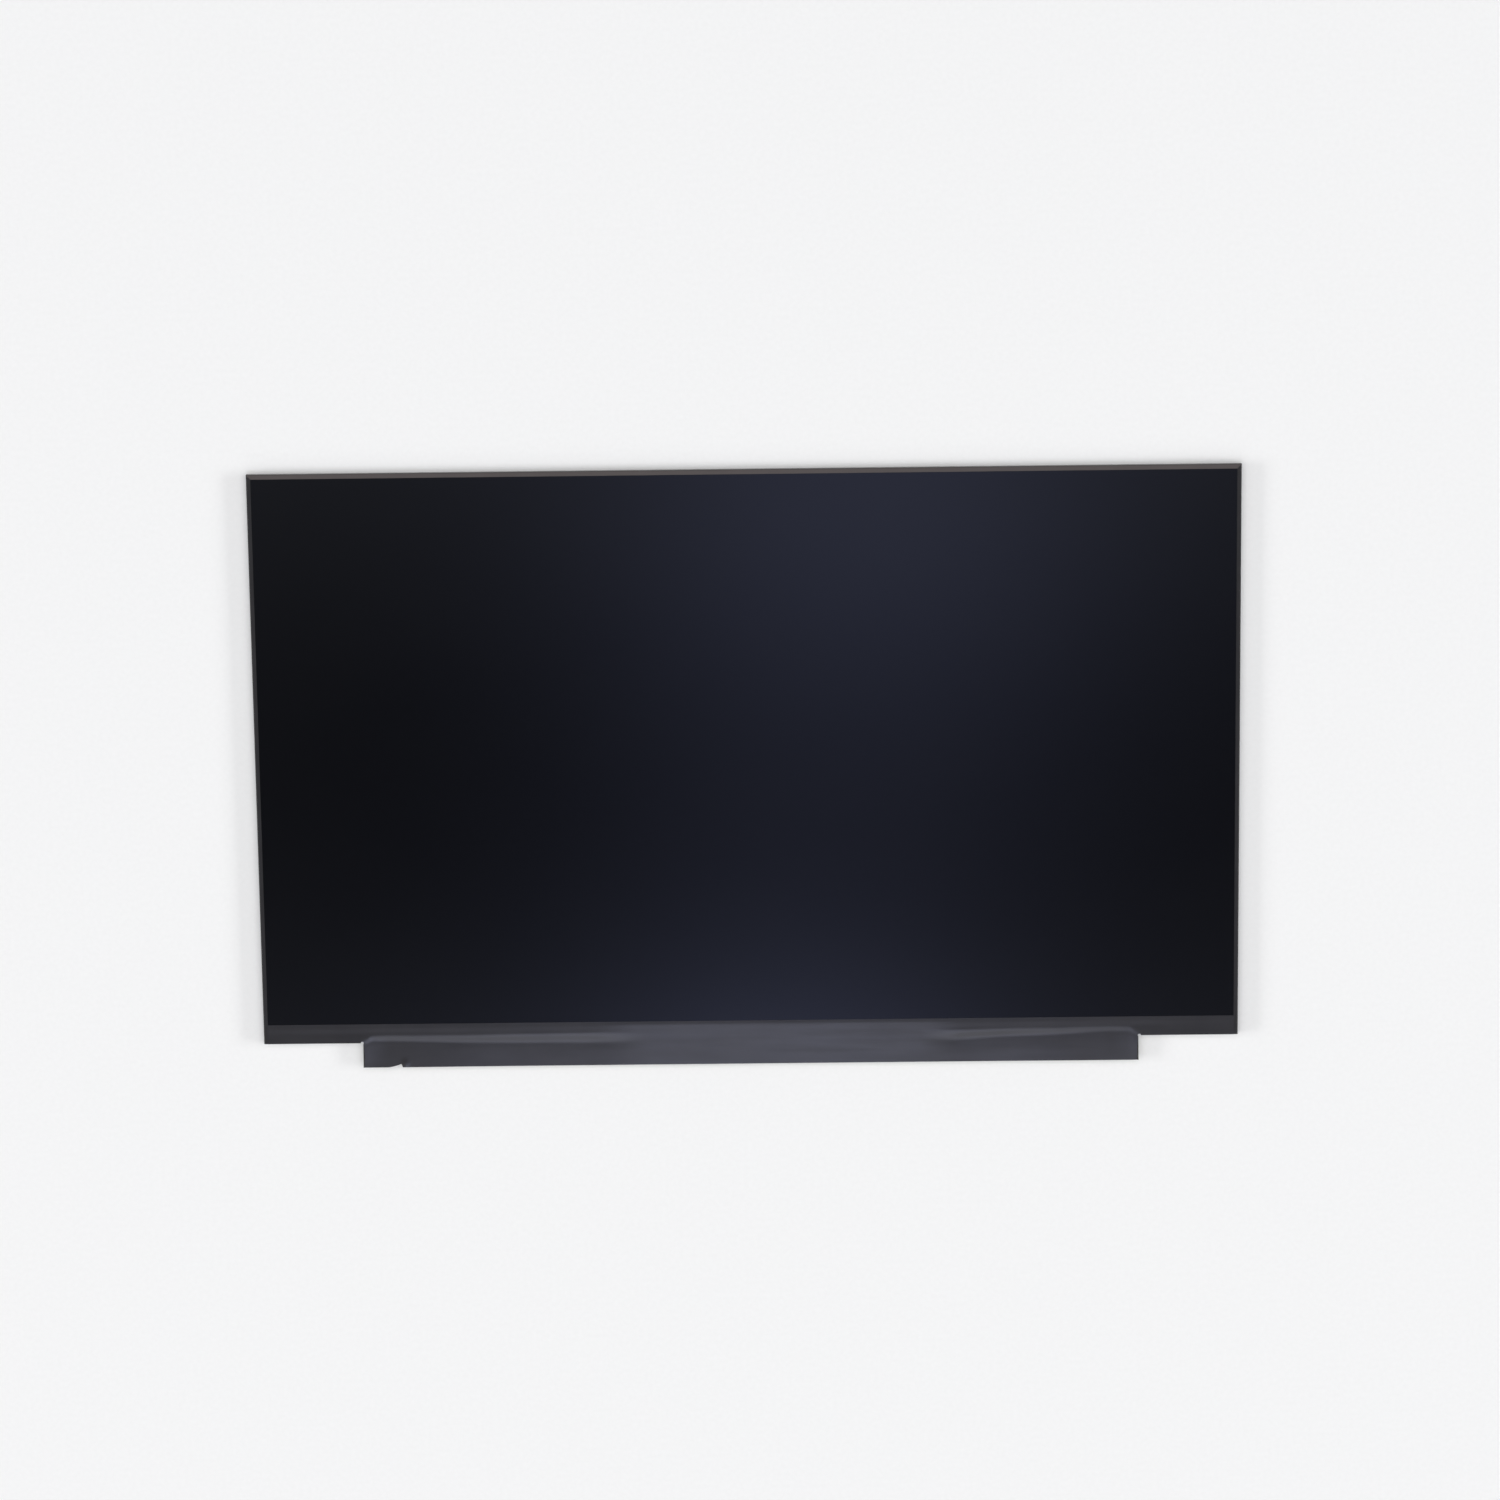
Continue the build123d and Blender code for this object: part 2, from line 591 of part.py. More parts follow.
def driver_film_xs():
    return spread(BOARD_X - FILM_END - FILM_W / 2, FILM_COUNT)


def driver_films():
    """Flexible films bonded to the glass ledge and to the board, narrower at the board."""
    flats = [
        (FILM_TOP_Y, FILM_BEND_Y, FILTER_Z),
        (FILM_LAND_Y, BOND_BOTTOM_Y, BOARD_FRONT_Z),
    ]
    film = draped_strip(-FILM_W / 2, FILM_W / 2, flats, FILM_T)
    outline = make_face(Polyline(
        (-FILM_W / 2, FILM_TOP_Y), (-FILM_W / 2, DRIVER_TOP_Y), (-FILM_NECK_W / 2, FILM_BEND_Y),
        (-FILM_NECK_W / 2, BOND_BOTTOM_Y), (FILM_NECK_W / 2, BOND_BOTTOM_Y), (FILM_NECK_W / 2, FILM_BEND_Y),
        (FILM_W / 2, DRIVER_TOP_Y), (FILM_W / 2, FILM_TOP_Y), close=True))
    film &= sheet(outline, 0, FRONT_Z)
    return group([Pos(x, 0, 0) * film for x in driver_film_xs()])


def driver_chips():
    chip = block(
        -DRIVER_L / 2, DRIVER_L / 2, DRIVER_TOP_Y - DRIVER_W, DRIVER_TOP_Y, FILTER_Z - DRIVER_T, FILTER_Z)
    return group([Pos(x, 0, 0) * chip for x in driver_film_xs()])


# Board and what is soldered to its rear face

def source_board():
    """Long narrow circuit board, with the recesses where it was broken out of its sheet."""
    outline = rectangle(-BOARD_X, BOARD_X, BOARD_BOTTOM_Y, BOARD_TOP_Y)
    outline = chamfer(outline.vertices(), BOARD_CORNER)
    notch = RectangleRounded(NOTCH_L, 2 * NOTCH_D, NOTCH_R)
    for x in (-NOTCH_X, 0, NOTCH_X):
        outline -= Pos(x, BOARD_BOTTOM_Y) * notch
    return sheet(outline, BOARD_Z, BOARD_T)


def soldered(size, x, y, turned=False):
    """Block of a part's size, standing on the board's rear face."""
    length, width, height = size
    if turned:
        length, width = width, length
    return block(x - length / 2, x + length / 2, y - width / 2, y + width / 2, BOARD_Z - height, BOARD_Z)


def chip(size, x):
    """Flat chip package with a dimple at its first pin."""
    length, width, height = size
    mark = Cylinder(PIN_MARK_R, 2 * PIN_MARK_D)
    mark_x = x + length / 2 - PIN_MARK_INSET
    mark_y = BOARD_MID_Y + width / 2 - PIN_MARK_INSET
    return soldered(size, x, BOARD_MID_Y) - Pos(mark_x, mark_y, BOARD_Z - height) * mark


def coil(size, x, y):
    """Moulded power coil with nipped corners and a ring pressed into its face."""
    length, width, height = size
    square = Rectangle(length, width)
    body = Pos(x, y) * sheet(chamfer(square.vertices(), COIL_CORNER), BOARD_Z - height, height)
    ring_r = width / 2 - COIL_RING_INSET
    ring = Circle(ring_r) - Circle(ring_r - COIL_GROOVE_W)
    return body - Pos(x, y) * sheet(ring, BOARD_Z - height, COIL_GROOVE_D)


def column_xs(bay):
    """X of the small capacitors, resistors and large capacitors on each side of a bay's chip."""
    small = CHIP_SIZES[bay][0] / 2 + PART_GAP + SMALL_CAPACITOR_SIZE[0] / 2
    resistor = small + SMALL_CAPACITOR_SIZE[0] / 2 + PART_GAP + RESISTOR_SIZE[0] / 2
    large = resistor + RESISTOR_SIZE[0] / 2 + PART_GAP + LARGE_CAPACITOR_SIZE[0] / 2
    return small, resistor, large


def part_columns(column, size, rows, pitch):
    """One column of parts on each side of every bay's chip."""
    parts = []
    for bay, chip_x in enumerate(CHIP_XS):
        offset = column_xs(bay)[column]
        for side in (-1, 1):
            for y in spread(pitch * (rows - 1) / 2, rows):
                parts.append(soldered(size, chip_x + side * offset, BOARD_MID_Y + y))
    return group(parts)


def power_inductors():
    offset = (POWER_COIL_SIZE[0] + PART_GAP) / 2
    return group([coil(POWER_COIL_SIZE, JOINT_XS[1] + side * offset, BOARD_MID_Y) for side in (-1, 1)])


def backlight_inductor():
    return coil(BACKLIGHT_COIL_SIZE, JOINT_XS[4] - BACKLIGHT_COIL_SIZE[0] / 2, BOARD_MID_Y)


def rectifier_diode():
    """Diode with a flat lead at each end."""
    x = JOINT_XS[4] + PART_GAP + DIODE_LEAD[0] + DIODE_SIZE[1] / 2
    lead_y = DIODE_SIZE[0] / 2 + DIODE_LEAD[0] / 2
    diode = soldered(DIODE_SIZE, x, BOARD_MID_Y, turned=True)
    for side in (-1, 1):
        diode += soldered(DIODE_LEAD, x, BOARD_MID_Y + side * lead_y, turned=True)
    return diode


def input_fuse():
    x = BAY_LEFT_X + SHELL_T + SHELL_FOOT + PART_GAP + FUSE_SIZE[1] / 2
    return soldered(FUSE_SIZE, x, BOARD_MID_Y, turned=True)


# Display connector

def connector_contacts():
    """Row of contacts: a tail on the board behind the housing, rising to the floor of the mouth."""
    floor_z = BOARD_Z - MOUTH_FLOOR
    low_z = floor_z - PIN_T
    tip_y = MOUTH_Y + PIN_SETBACK
    riser_y = MOUTH_Y + MOUTH_D
    tail_y = HOUSING_BACK_Y + PIN_TAIL
    profile = make_face(Polyline(
        (tail_y, BOARD_Z), (riser_y, BOARD_Z), (riser_y, floor_z), (tip_y, floor_z), (tip_y, low_z),
        (riser_y + PIN_T, low_z), (riser_y + PIN_T, BOARD_Z - PIN_T), (tail_y, BOARD_Z - PIN_T), close=True))
    pin = extrude(Pos(CONNECTOR_X - PIN_W / 2, 0, 0) * (Plane.YZ * profile), PIN_W, dir=(1, 0, 0))
    return group([Pos(x, 0, 0) * pin for x in spread((PIN_COUNT - 1) * PIN_PITCH / 2, PIN_COUNT)])


def connector_housing():
    """Plastic body with a flat mouth that opens towards the board's lower edge."""
    half = CONNECTOR_HALF
    mouth_half = CONNECTOR_HALF - HOUSING_CHEEK / 2
    floor_z = BOARD_Z - MOUTH_FLOOR
    housing = block(-half, half, MOUTH_Y, HOUSING_BACK_Y, BOARD_Z - HOUSING_H, BOARD_Z)
    housing -= block(-mouth_half, mouth_half, MOUTH_Y, MOUTH_Y + MOUTH_D, floor_z - MOUTH_H, floor_z)
    return Pos(CONNECTOR_X, 0, 0) * housing - connector_contacts().solids()


def connector_shell():
    """Sheet steel cover folded down both ends of the housing, with feet on the board."""
    inner = CONNECTOR_HALF
    outer = CONNECTOR_HALF + SHELL_T
    low_z = BOARD_Z - HOUSING_H
    back_y = HOUSING_BACK_Y - SHELL_SETBACK
    roof = rectangle(-outer, outer, MOUTH_Y, back_y)
    window_x = inner - HOUSING_CHEEK
    for side in (-1, 1):
        roof -= Pos(side * window_x, (MOUTH_Y + back_y) / 2) * Rectangle(SHELL_WINDOW_L, SHELL_WINDOW_W)
    shell = sheet(roof, low_z - SHELL_T, SHELL_T)
    for side in (-1, 1):
        shell += block(*sorted((side * inner, side * outer)), MOUTH_Y, back_y, low_z, BOARD_Z)
        foot = sorted((side * outer, side * (outer + SHELL_FOOT)))
        shell += block(*foot, MOUTH_Y, MOUTH_Y + SHELL_FOOT, BOARD_Z - SHELL_T, BOARD_Z)
        shell += block(*foot, back_y - SHELL_FOOT, back_y, BOARD_Z - SHELL_T, BOARD_Z)
    return Pos(CONNECTOR_X, 0, 0) * shell


# All pieces by name

def pieces():
    return {
        "back_plate": back_plate(),
        "mould_frame": mould_frame(),
        "reflector_sheet": optical_sheet(GUIDE_BOTTOM_Y, FLOOR_Z, REFLECTOR_T),
        "light_guide": optical_sheet(GUIDE_BOTTOM_Y, GUIDE_Z, GUIDE_T),
        "diffuser_sheet": optical_sheet(FILM_BOTTOM_Y, DIFFUSER_Z, DIFFUSER_T),
        "lower_prism_sheet": optical_sheet(FILM_BOTTOM_Y, LOWER_PRISM_Z, PRISM_T),
        "upper_prism_sheet": optical_sheet(FILM_BOTTOM_Y, UPPER_PRISM_Z, PRISM_T),
        "led_bar_tape": led_strip(LED_TAPE_T, FLOOR_Z),
        "led_flex": led_flex(),
        "leds": leds(),
        "rim_tape": rim_tape(),
        "rear_polariser": rear_polariser(),
        "array_glass": glass(ARRAY_BOTTOM_Y, ARRAY_Z),
        "colour_filter_glass": glass(FILTER_BOTTOM_Y, FILTER_Z),
        "front_polariser": front_polariser(),
        "top_edge_tape": top_edge_tape(),
        "left_edge_tape": side_edge_tape(-1),
        "right_edge_tape": side_edge_tape(1),
        "cover_tape": cover_tape(),
        "driver_films": driver_films(),
        "driver_chips": driver_chips(),
        "source_board": source_board(),
        "connector_housing": connector_housing(),
        "connector_shell": connector_shell(),
        "connector_contacts": connector_contacts(),
        "timing_controller": chip(CONTROLLER_SIZE, CHIP_XS[0]),
        "memory_chip": chip(MEMORY_SIZE, CHIP_XS[1]),
        "power_chip": chip(POWER_SIZE, CHIP_XS[2]),
        "gamma_chip": chip(GAMMA_SIZE, CHIP_XS[3]),
        "level_shifter": chip(SHIFTER_SIZE, CHIP_XS[4]),
        "backlight_driver": chip(BACKLIGHT_SIZE, CHIP_XS[5]),
        "power_inductors": power_inductors(),
        "backlight_inductor": backlight_inductor(),
        "rectifier_diode": rectifier_diode(),
        "input_fuse": input_fuse(),
        "large_capacitors": part_columns(2, LARGE_CAPACITOR_SIZE, 2, LARGE_ROW_PITCH),
        "small_capacitors": part_columns(0, SMALL_CAPACITOR_SIZE, SMALL_ROWS, SMALL_ROW_PITCH),
        "chip_resistors": part_columns(1, RESISTOR_SIZE, SMALL_ROWS, SMALL_ROW_PITCH),
        "ground_tapes": ground_tapes(),
    }


os.makedirs("parts", exist_ok=True)
for name, shape in pieces().items():
    export_step(shape, f"parts/{name}.step")
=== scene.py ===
import json
import math
import random

import bmesh
import bpy
import numpy as np
from mathutils import Matrix, Vector, noise
from mathutils.geometry import delaunay_2d_cdt
from mathutils.kdtree import KDTree


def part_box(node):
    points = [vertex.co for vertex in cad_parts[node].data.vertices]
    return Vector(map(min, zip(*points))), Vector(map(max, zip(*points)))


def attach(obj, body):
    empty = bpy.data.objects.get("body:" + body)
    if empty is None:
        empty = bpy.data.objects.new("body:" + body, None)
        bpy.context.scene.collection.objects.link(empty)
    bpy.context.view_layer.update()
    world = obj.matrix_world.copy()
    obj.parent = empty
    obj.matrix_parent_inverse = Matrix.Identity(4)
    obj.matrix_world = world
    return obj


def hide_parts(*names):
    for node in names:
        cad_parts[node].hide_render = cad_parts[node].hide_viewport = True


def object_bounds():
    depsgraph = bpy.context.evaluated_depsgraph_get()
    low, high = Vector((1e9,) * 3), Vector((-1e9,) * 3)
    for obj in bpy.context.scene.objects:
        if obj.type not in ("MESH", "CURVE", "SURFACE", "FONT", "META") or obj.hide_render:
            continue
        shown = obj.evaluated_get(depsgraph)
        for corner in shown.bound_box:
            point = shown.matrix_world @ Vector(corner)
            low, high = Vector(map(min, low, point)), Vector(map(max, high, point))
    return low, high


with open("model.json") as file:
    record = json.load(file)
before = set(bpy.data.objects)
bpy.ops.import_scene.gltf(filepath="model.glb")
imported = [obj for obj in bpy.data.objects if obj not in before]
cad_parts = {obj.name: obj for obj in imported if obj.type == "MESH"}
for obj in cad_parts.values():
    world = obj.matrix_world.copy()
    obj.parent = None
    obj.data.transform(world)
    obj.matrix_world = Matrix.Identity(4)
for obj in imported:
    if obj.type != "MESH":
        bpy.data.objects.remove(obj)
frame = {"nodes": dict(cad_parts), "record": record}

# Looks of a laptop screen panel that lies on its back, with its lower edge towards -Y.
# Lengths are metres, and sizes written as numbers are millimetres times MM.

MM = 0.001
CAD_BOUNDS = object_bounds()
NODES = frame["nodes"]
SLOTS = {part["node"]: part["material_slot"] for part in frame["record"]["subparts"]}

# Camera, as fitted to the photograph's edges
PHOTO_PX = 1500
FOCAL_PX = 4975
SENSOR_W = 36
CAMERA_AT = Vector((16.19, 354.26, 1737.7)) * MM
CAMERA_TO = Vector((1.103, 2.480, 1.0)) * MM
CAMERA_ROLL = math.radians(-0.722)

# Surroundings: a room with a bright ceiling, dim walls and a pale horizon. Each step changes its level
# between two heights of the ray, from -1 straight down to 1 straight up.
ROOM_LOWEST = 0.40
ROOM_STEPS = ((-1.00, 0.00, 0.43), (0.02, 0.16, -0.58), (0.40, 0.70, 0.74))

# A dim patch overhead, which the screen mirrors towards the camera, and soft lobes of light in it.
# Their places are slopes (x / z, y / z) of the ray that leaves the screen.
PATCH_SHARE = 0.033
PATCH_AT = (0.0, -0.21)
PATCH_SHAPE = (1.0, 0.34)
PATCH_INNER = 0.09
PATCH_OUTER = 0.88
COOL = (0.90, 0.96, 1.38)
LOBES = (
    {"at": (0.015, -0.150), "size": (0.036, 0.028), "level": 0.56},
    {"at": (0.012, -0.205), "size": (0.035, 0.025), "level": 0.13},
    {"at": (0.000, -0.345), "size": (0.024, 0.044), "level": 2.20},
    {"at": (-0.010, -0.480), "size": (0.046, 0.085), "level": 2.10},
    {"at": (-0.030, -0.660), "size": (0.050, 0.100), "level": 1.00},
)

# Lamps: low on the left and right, and one in front of the panel
LAMPS = (
    {"name": "lamp_left", "at": (-6.00, -0.45, 1.50), "size": (3.60, 0.90), "power": 210.0},
    {"name": "lamp_right", "at": (6.00, -0.45, 1.50), "size": (3.60, 0.90), "power": 210.0},
    {"name": "lamp_front", "at": (0.00, -4.20, 1.50), "size": (3.60, 0.90), "power": 18.0},
)
FLOOR_SIZE = 9.0
FLOOR_NEAR = 0.03
CEILING_Z = 6.0
CEILING_SIZE = 60.0
CEILING_LEVEL = 0.90

# Places that come from the frame
COVER_LOW, COVER_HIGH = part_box("cover_tape")
BOARD_LOW, BOARD_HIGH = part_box("source_board")
PLATE_LOW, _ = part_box("back_plate")
FILM_LOW, FILM_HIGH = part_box("front_polariser")
RIM_LOW, RIM_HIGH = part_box("left_edge_tape")
_, TOP_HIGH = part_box("top_edge_tape")
LOWER_EDGE = PLATE_LOW.y

# Tapes
TAPE_T = 0.08 * MM
FRONT_BEND_R = 0.45 * MM
REAR_BEND_R = 0.16 * MM
RIM_SIDE_W = 1.55 * MM
RIM_TOP_W = 1.60 * MM
REAR_LEG_W = 4.00 * MM
MITRE_GAP = 0.02 * MM
RIM_STEP = 1.00 * MM
RIM_TOP_LIFT = 0.14 * MM
RIM_SIDE_LIFT = 0.03 * MM
# Heights over which the top tape's front blends to lighter, brownish colours
LIGHTER_FRONT_FROM = (1.90 * MM, 2.30 * MM)
EDGE_WANDER = 0.04 * MM
LEG_WAVE = 0.008 * MM
WALL_DENT = 0.012 * MM
BAND_LAP = 0.30 * MM
BAND_X = COVER_HIGH.x + BAND_LAP
STRIP_X = BOARD_HIGH.x + 0.40 * MM
RELIEF_R = 0.55 * MM
TEAR_RIGHT = -125.5 * MM
TEAR_L = 5.60 * MM
TEAR_D = 1.25 * MM
TEAR_LIP = 0.55 * MM
TEAR_BEND = 1.6
TEAR_RAG = 0.10 * MM
CRUMPLE_AT = (1.0 * MM, 1.3 * MM)
CRUMPLE_SIZE = (1.1 * MM, 1.2 * MM)
CRUMPLE_H = 0.09 * MM
TAPE_MESH = 0.50 * MM
TAPE_SAG = 0.03 * MM
TAPE_SAG_OVER = 2.4 * MM
TAPE_SINK = 0.02 * MM
BAND_Z = FILM_HIGH.z
SKIRT_Z = COVER_LOW.z
SKIRT_BEND = 1.4
SKIRT_RISE = 0.27 * MM
SKIRT_RISE_FROM = (80 * MM, 120 * MM)
# Ridge where the cover tape breaks downwards: x and y of its middle, its width and its drop in millimetres
RIDGE = (
    (-140, -101.70, 2.4, 0.22),
    (-121, -102.00, 2.6, 0.24),
    (-103, -102.30, 3.2, 0.34),
    (-85, -102.35, 3.7, 0.44),
    (-50, -102.40, 4.4, 0.48),
    (74, -102.80, 4.2, 0.46),
    (92, -102.00, 3.4, 0.38),
    (110, -101.70, 2.8, 0.24),
    (127, -101.00, 2.3, 0.13),
    (140, -101.10, 2.3, 0.13),
)
# At the strip's ends the ridge dips by this much, and keeps this share of its drop
RIDGE_DIP = 1.6 * MM
RIDGE_DIP_OVER = (0.3 * MM, 4.0 * MM)
RIDGE_END_SHARE = 0.4
RIDGE_FADE_OVER = 9.0 * MM
# Between these places the tape falls in one slope, without a ridge
SMOOTH_FROM = (-60 * MM, -35 * MM)
SMOOTH_TO = (78 * MM, 60 * MM)

# Waves of the cover tape: height, size along x and y, and seed of the noise
COVER_WAVES = ((0.010 * MM, 26 * MM, 5 * MM, 1.7), (0.004 * MM, 12 * MM, 1.8 * MM, 4.2))

# Solder, pads and tracks on the board's rear face
END_SHARES = {"large_capacitors": 0.20, "small_capacitors": 0.25, "chip_resistors": 0.22, "input_fuse": 0.22}
PAD_T = 0.03 * MM
CHIP_PAD = (0.24 * MM, 0.36 * MM)
CHIP_PAD_PITCH = 0.50 * MM
CHIP_PAD_REACH = 0.14 * MM
CHIPS = ("timing_controller", "memory_chip", "power_chip", "gamma_chip", "level_shifter", "backlight_driver")
COIL_FOOT_OUT = 0.22 * MM
COIL_FOOT_L = 0.80 * MM
COIL_FOOT_T = 0.16 * MM
COIL_FOOT_INSET = 0.28
TRACK_W = 0.12 * MM
TRACK_T = 0.018 * MM
TRACK_PITCH = 0.24 * MM
TRACK_COUNT = 4
TRACK_EDGE = 0.45 * MM

# Edges that turn by more than this are drawn sharp
SHARP_ANGLE = math.radians(40)


# Node trees

class Tree:
    """Node tree of a material or of the world, with short ways to add nodes."""

    def __init__(self, tree):
        self.tree = tree

    def add(self, kind, inputs=None, **settings):
        """New node with its inputs set to values or linked to other nodes' outputs."""
        node = self.tree.nodes.new("ShaderNode" + kind)
        for name, value in settings.items():
            setattr(node, name, value)
        for key, value in (inputs or {}).items():
            self.put(value, node.inputs[key])
        return node

    def put(self, value, socket):
        """Sets a socket to a value, or links another node's output to it."""
        if isinstance(value, bpy.types.NodeSocket):
            self.tree.links.new(value, socket)
        else:
            socket.default_value = value

    def math(self, operation, a, b=0.0):
        return self.add("Math", {0: a, 1: b}, operation=operation).outputs[0]

    def vector(self, operation, a, b=(0.0, 0.0, 0.0)):
        node = self.add("VectorMath", {0: a, 1: b}, operation=operation)
        return node.outputs["Value" if operation in ("DOT_PRODUCT", "LENGTH") else "Vector"]

    def grey(self, value):
        """Vector or colour with the same number three times."""
        return self.add("CombineXYZ", {0: value, 1: value, 2: value}).outputs[0]

    def noise(self, grain, detail=2.0):
        """Noise from 0 to 1 whose grains have this size in x, y and z."""
        place = self.add("TexCoord").outputs["Object"]
        scaled = self.vector("DIVIDE", place, grain)
        node = self.add("TexNoise", {"Vector": scaled, "Scale": 1.0, "Detail": detail})
        return node.outputs["Fac"]

    def ramp(self, value, start, end, low, high):
        """Number that goes from low to high as a value goes from start to end."""
        inputs = {"Value": value, "From Min": start, "From Max": end, "To Min": low, "To Max": high}
        return self.add("MapRange", inputs).outputs["Result"]

    def between(self, share, low, high):
        """Number that goes from low to high with noise, whose middle range is spread out."""
        return self.ramp(share, 0.3, 0.7, low, high)

    def blend(self, share, first, second):
        """Colour between two others."""
        node = self.add("Mix", {0: share, 6: first, 7: second}, data_type="RGBA")
        return node.outputs[2]

    def mottled(self, share, dark, light):
        """Colour that goes from dark to light with noise."""
        return self.blend(self.between(share, 0, 1), rgba(dark), rgba(light))

    def bump(self, height, depth, base=None):
        """Normal of a surface whose height varies by depth."""
        inputs = {"Height": height, "Strength": 1.0, "Distance": depth}
        if base is not None:
            inputs["Normal"] = base
        return self.add("Bump", inputs).outputs["Normal"]


def rgba(colour):
    return (*colour, 1.0)


def fine(size):
    """Grain of one size in all directions, given in millimetres."""
    return (size * MM, size * MM, size * MM)


def new_material(name, sockets):
    """Material with one Principled shader, and its node tree."""
    material = bpy.data.materials.new(name)
    material.use_nodes = True
    shader = material.node_tree.nodes["Principled BSDF"]
    for key, value in sockets.items():
        shader.inputs[key].default_value = value
    return material, Tree(material.node_tree), shader


def grained(name, dark, light, grain, rough, depth, **sockets):
    """Material whose colour, roughness and height all vary with noise of one grain."""
    named = {key.replace("_", " "): value for key, value in sockets.items()}
    material, tree, shader = new_material(name, named)
    share = tree.noise(grain, 3.0)
    tree.put(tree.mottled(share, dark, light), shader.inputs["Base Color"])
    tree.put(tree.between(share, *rough), shader.inputs["Roughness"])
    tree.put(tree.bump(share, depth), shader.inputs["Normal"])
    return material


# Materials

def black_tape(name, lighter_front=None):
    """Black film tape with a satin face, cloudy and slightly uneven. Two more colours give a lighter,
    brownish front.
    """
    material, tree, shader = new_material(name, {"Specular IOR Level": 0.55})
    streak = tree.noise((40 * MM, 2.5 * MM, 2.5 * MM), 2.0)
    cloud = tree.noise((14 * MM, 9 * MM, 9 * MM), 2.0)
    grain = tree.noise(fine(0.22), 2.0)
    tone = tree.mottled(cloud, (0.0185, 0.0178, 0.0200), (0.0225, 0.0215, 0.0240))
    # Above these heights the tone blends to two lighter, brownish colours
    if lighter_front:
        height = tree.add("SeparateXYZ", {0: tree.add("TexCoord").outputs["Object"]}).outputs["Z"]
        tone = tree.blend(tree.ramp(height, *LIGHTER_FRONT_FROM, 0.0, 1.0), tone, tree.mottled(cloud, *lighter_front))
    tree.put(tone, shader.inputs["Base Color"])
    tree.put(tree.between(streak, 0.17, 0.21), shader.inputs["Roughness"])
    coarse = tree.bump(streak, 0.006 * MM)
    tree.put(tree.bump(grain, 0.004 * MM, coarse), shader.inputs["Normal"])
    return material


def anti_glare_film():
    """Front polariser: almost black, with a fine matt grain and a bluish gloss."""
    sockets = {"Specular IOR Level": 0.66, "Specular Tint": rgba((0.78, 0.82, 1.0))}
    material, tree, shader = new_material("anti_glare_film", sockets)
    cloud = tree.noise((45 * MM, 30 * MM, 30 * MM), 2.0)
    grain = tree.noise(fine(0.09), 1.0)
    tone = tree.mottled(cloud, (0.0007, 0.0007, 0.0009), (0.0011, 0.0011, 0.0013))
    tree.put(tone, shader.inputs["Base Color"])
    tree.put(tree.between(grain, 0.09, 0.12), shader.inputs["Roughness"])
    return material


def rolled_aluminium():
    """Bare aluminium sheet with a rolling grain along X."""
    material, tree, shader = new_material("rolled_aluminium", {"Metallic": 1.0})
    grain = tree.noise((40 * MM, 0.25 * MM, 0.25 * MM), 3.0)
    cloud = tree.noise((90 * MM, 14 * MM, 14 * MM), 3.0)
    tone = tree.mottled(cloud, (0.69, 0.695, 0.70), (0.71, 0.715, 0.72))
    tree.put(tone, shader.inputs["Base Color"])
    tree.put(tree.between(grain, 0.28, 0.40), shader.inputs["Roughness"])
    tree.put(tree.bump(grain, 0.004 * MM), shader.inputs["Normal"])
    return material


def solder_mask():
    """Circuit board: glossy green on its faces, with the bare laminate along its edges."""
    material, tree, shader = new_material("solder_mask", {"Specular IOR Level": 0.5})
    cloud = tree.noise((9 * MM, 3 * MM, 3 * MM), 3.0)
    weave = tree.noise((0.35 * MM, 0.35 * MM, 0.06 * MM), 2.0)
    green = tree.mottled(cloud, (0.010, 0.075, 0.032), (0.018, 0.105, 0.048))
    laminate = tree.mottled(weave, (0.26, 0.24, 0.11), (0.36, 0.33, 0.17))
    facing = tree.add("SeparateXYZ", {0: tree.add("NewGeometry").outputs["True Normal"]}).outputs["Z"]
    flat = tree.math("GREATER_THAN", tree.math("ABSOLUTE", facing), 0.5)
    tree.put(tree.blend(flat, laminate, green), shader.inputs["Base Color"])
    tree.put(tree.between(cloud, 0.24, 0.36), shader.inputs["Roughness"])
    tree.put(tree.bump(weave, 0.004 * MM), shader.inputs["Normal"])
    return material


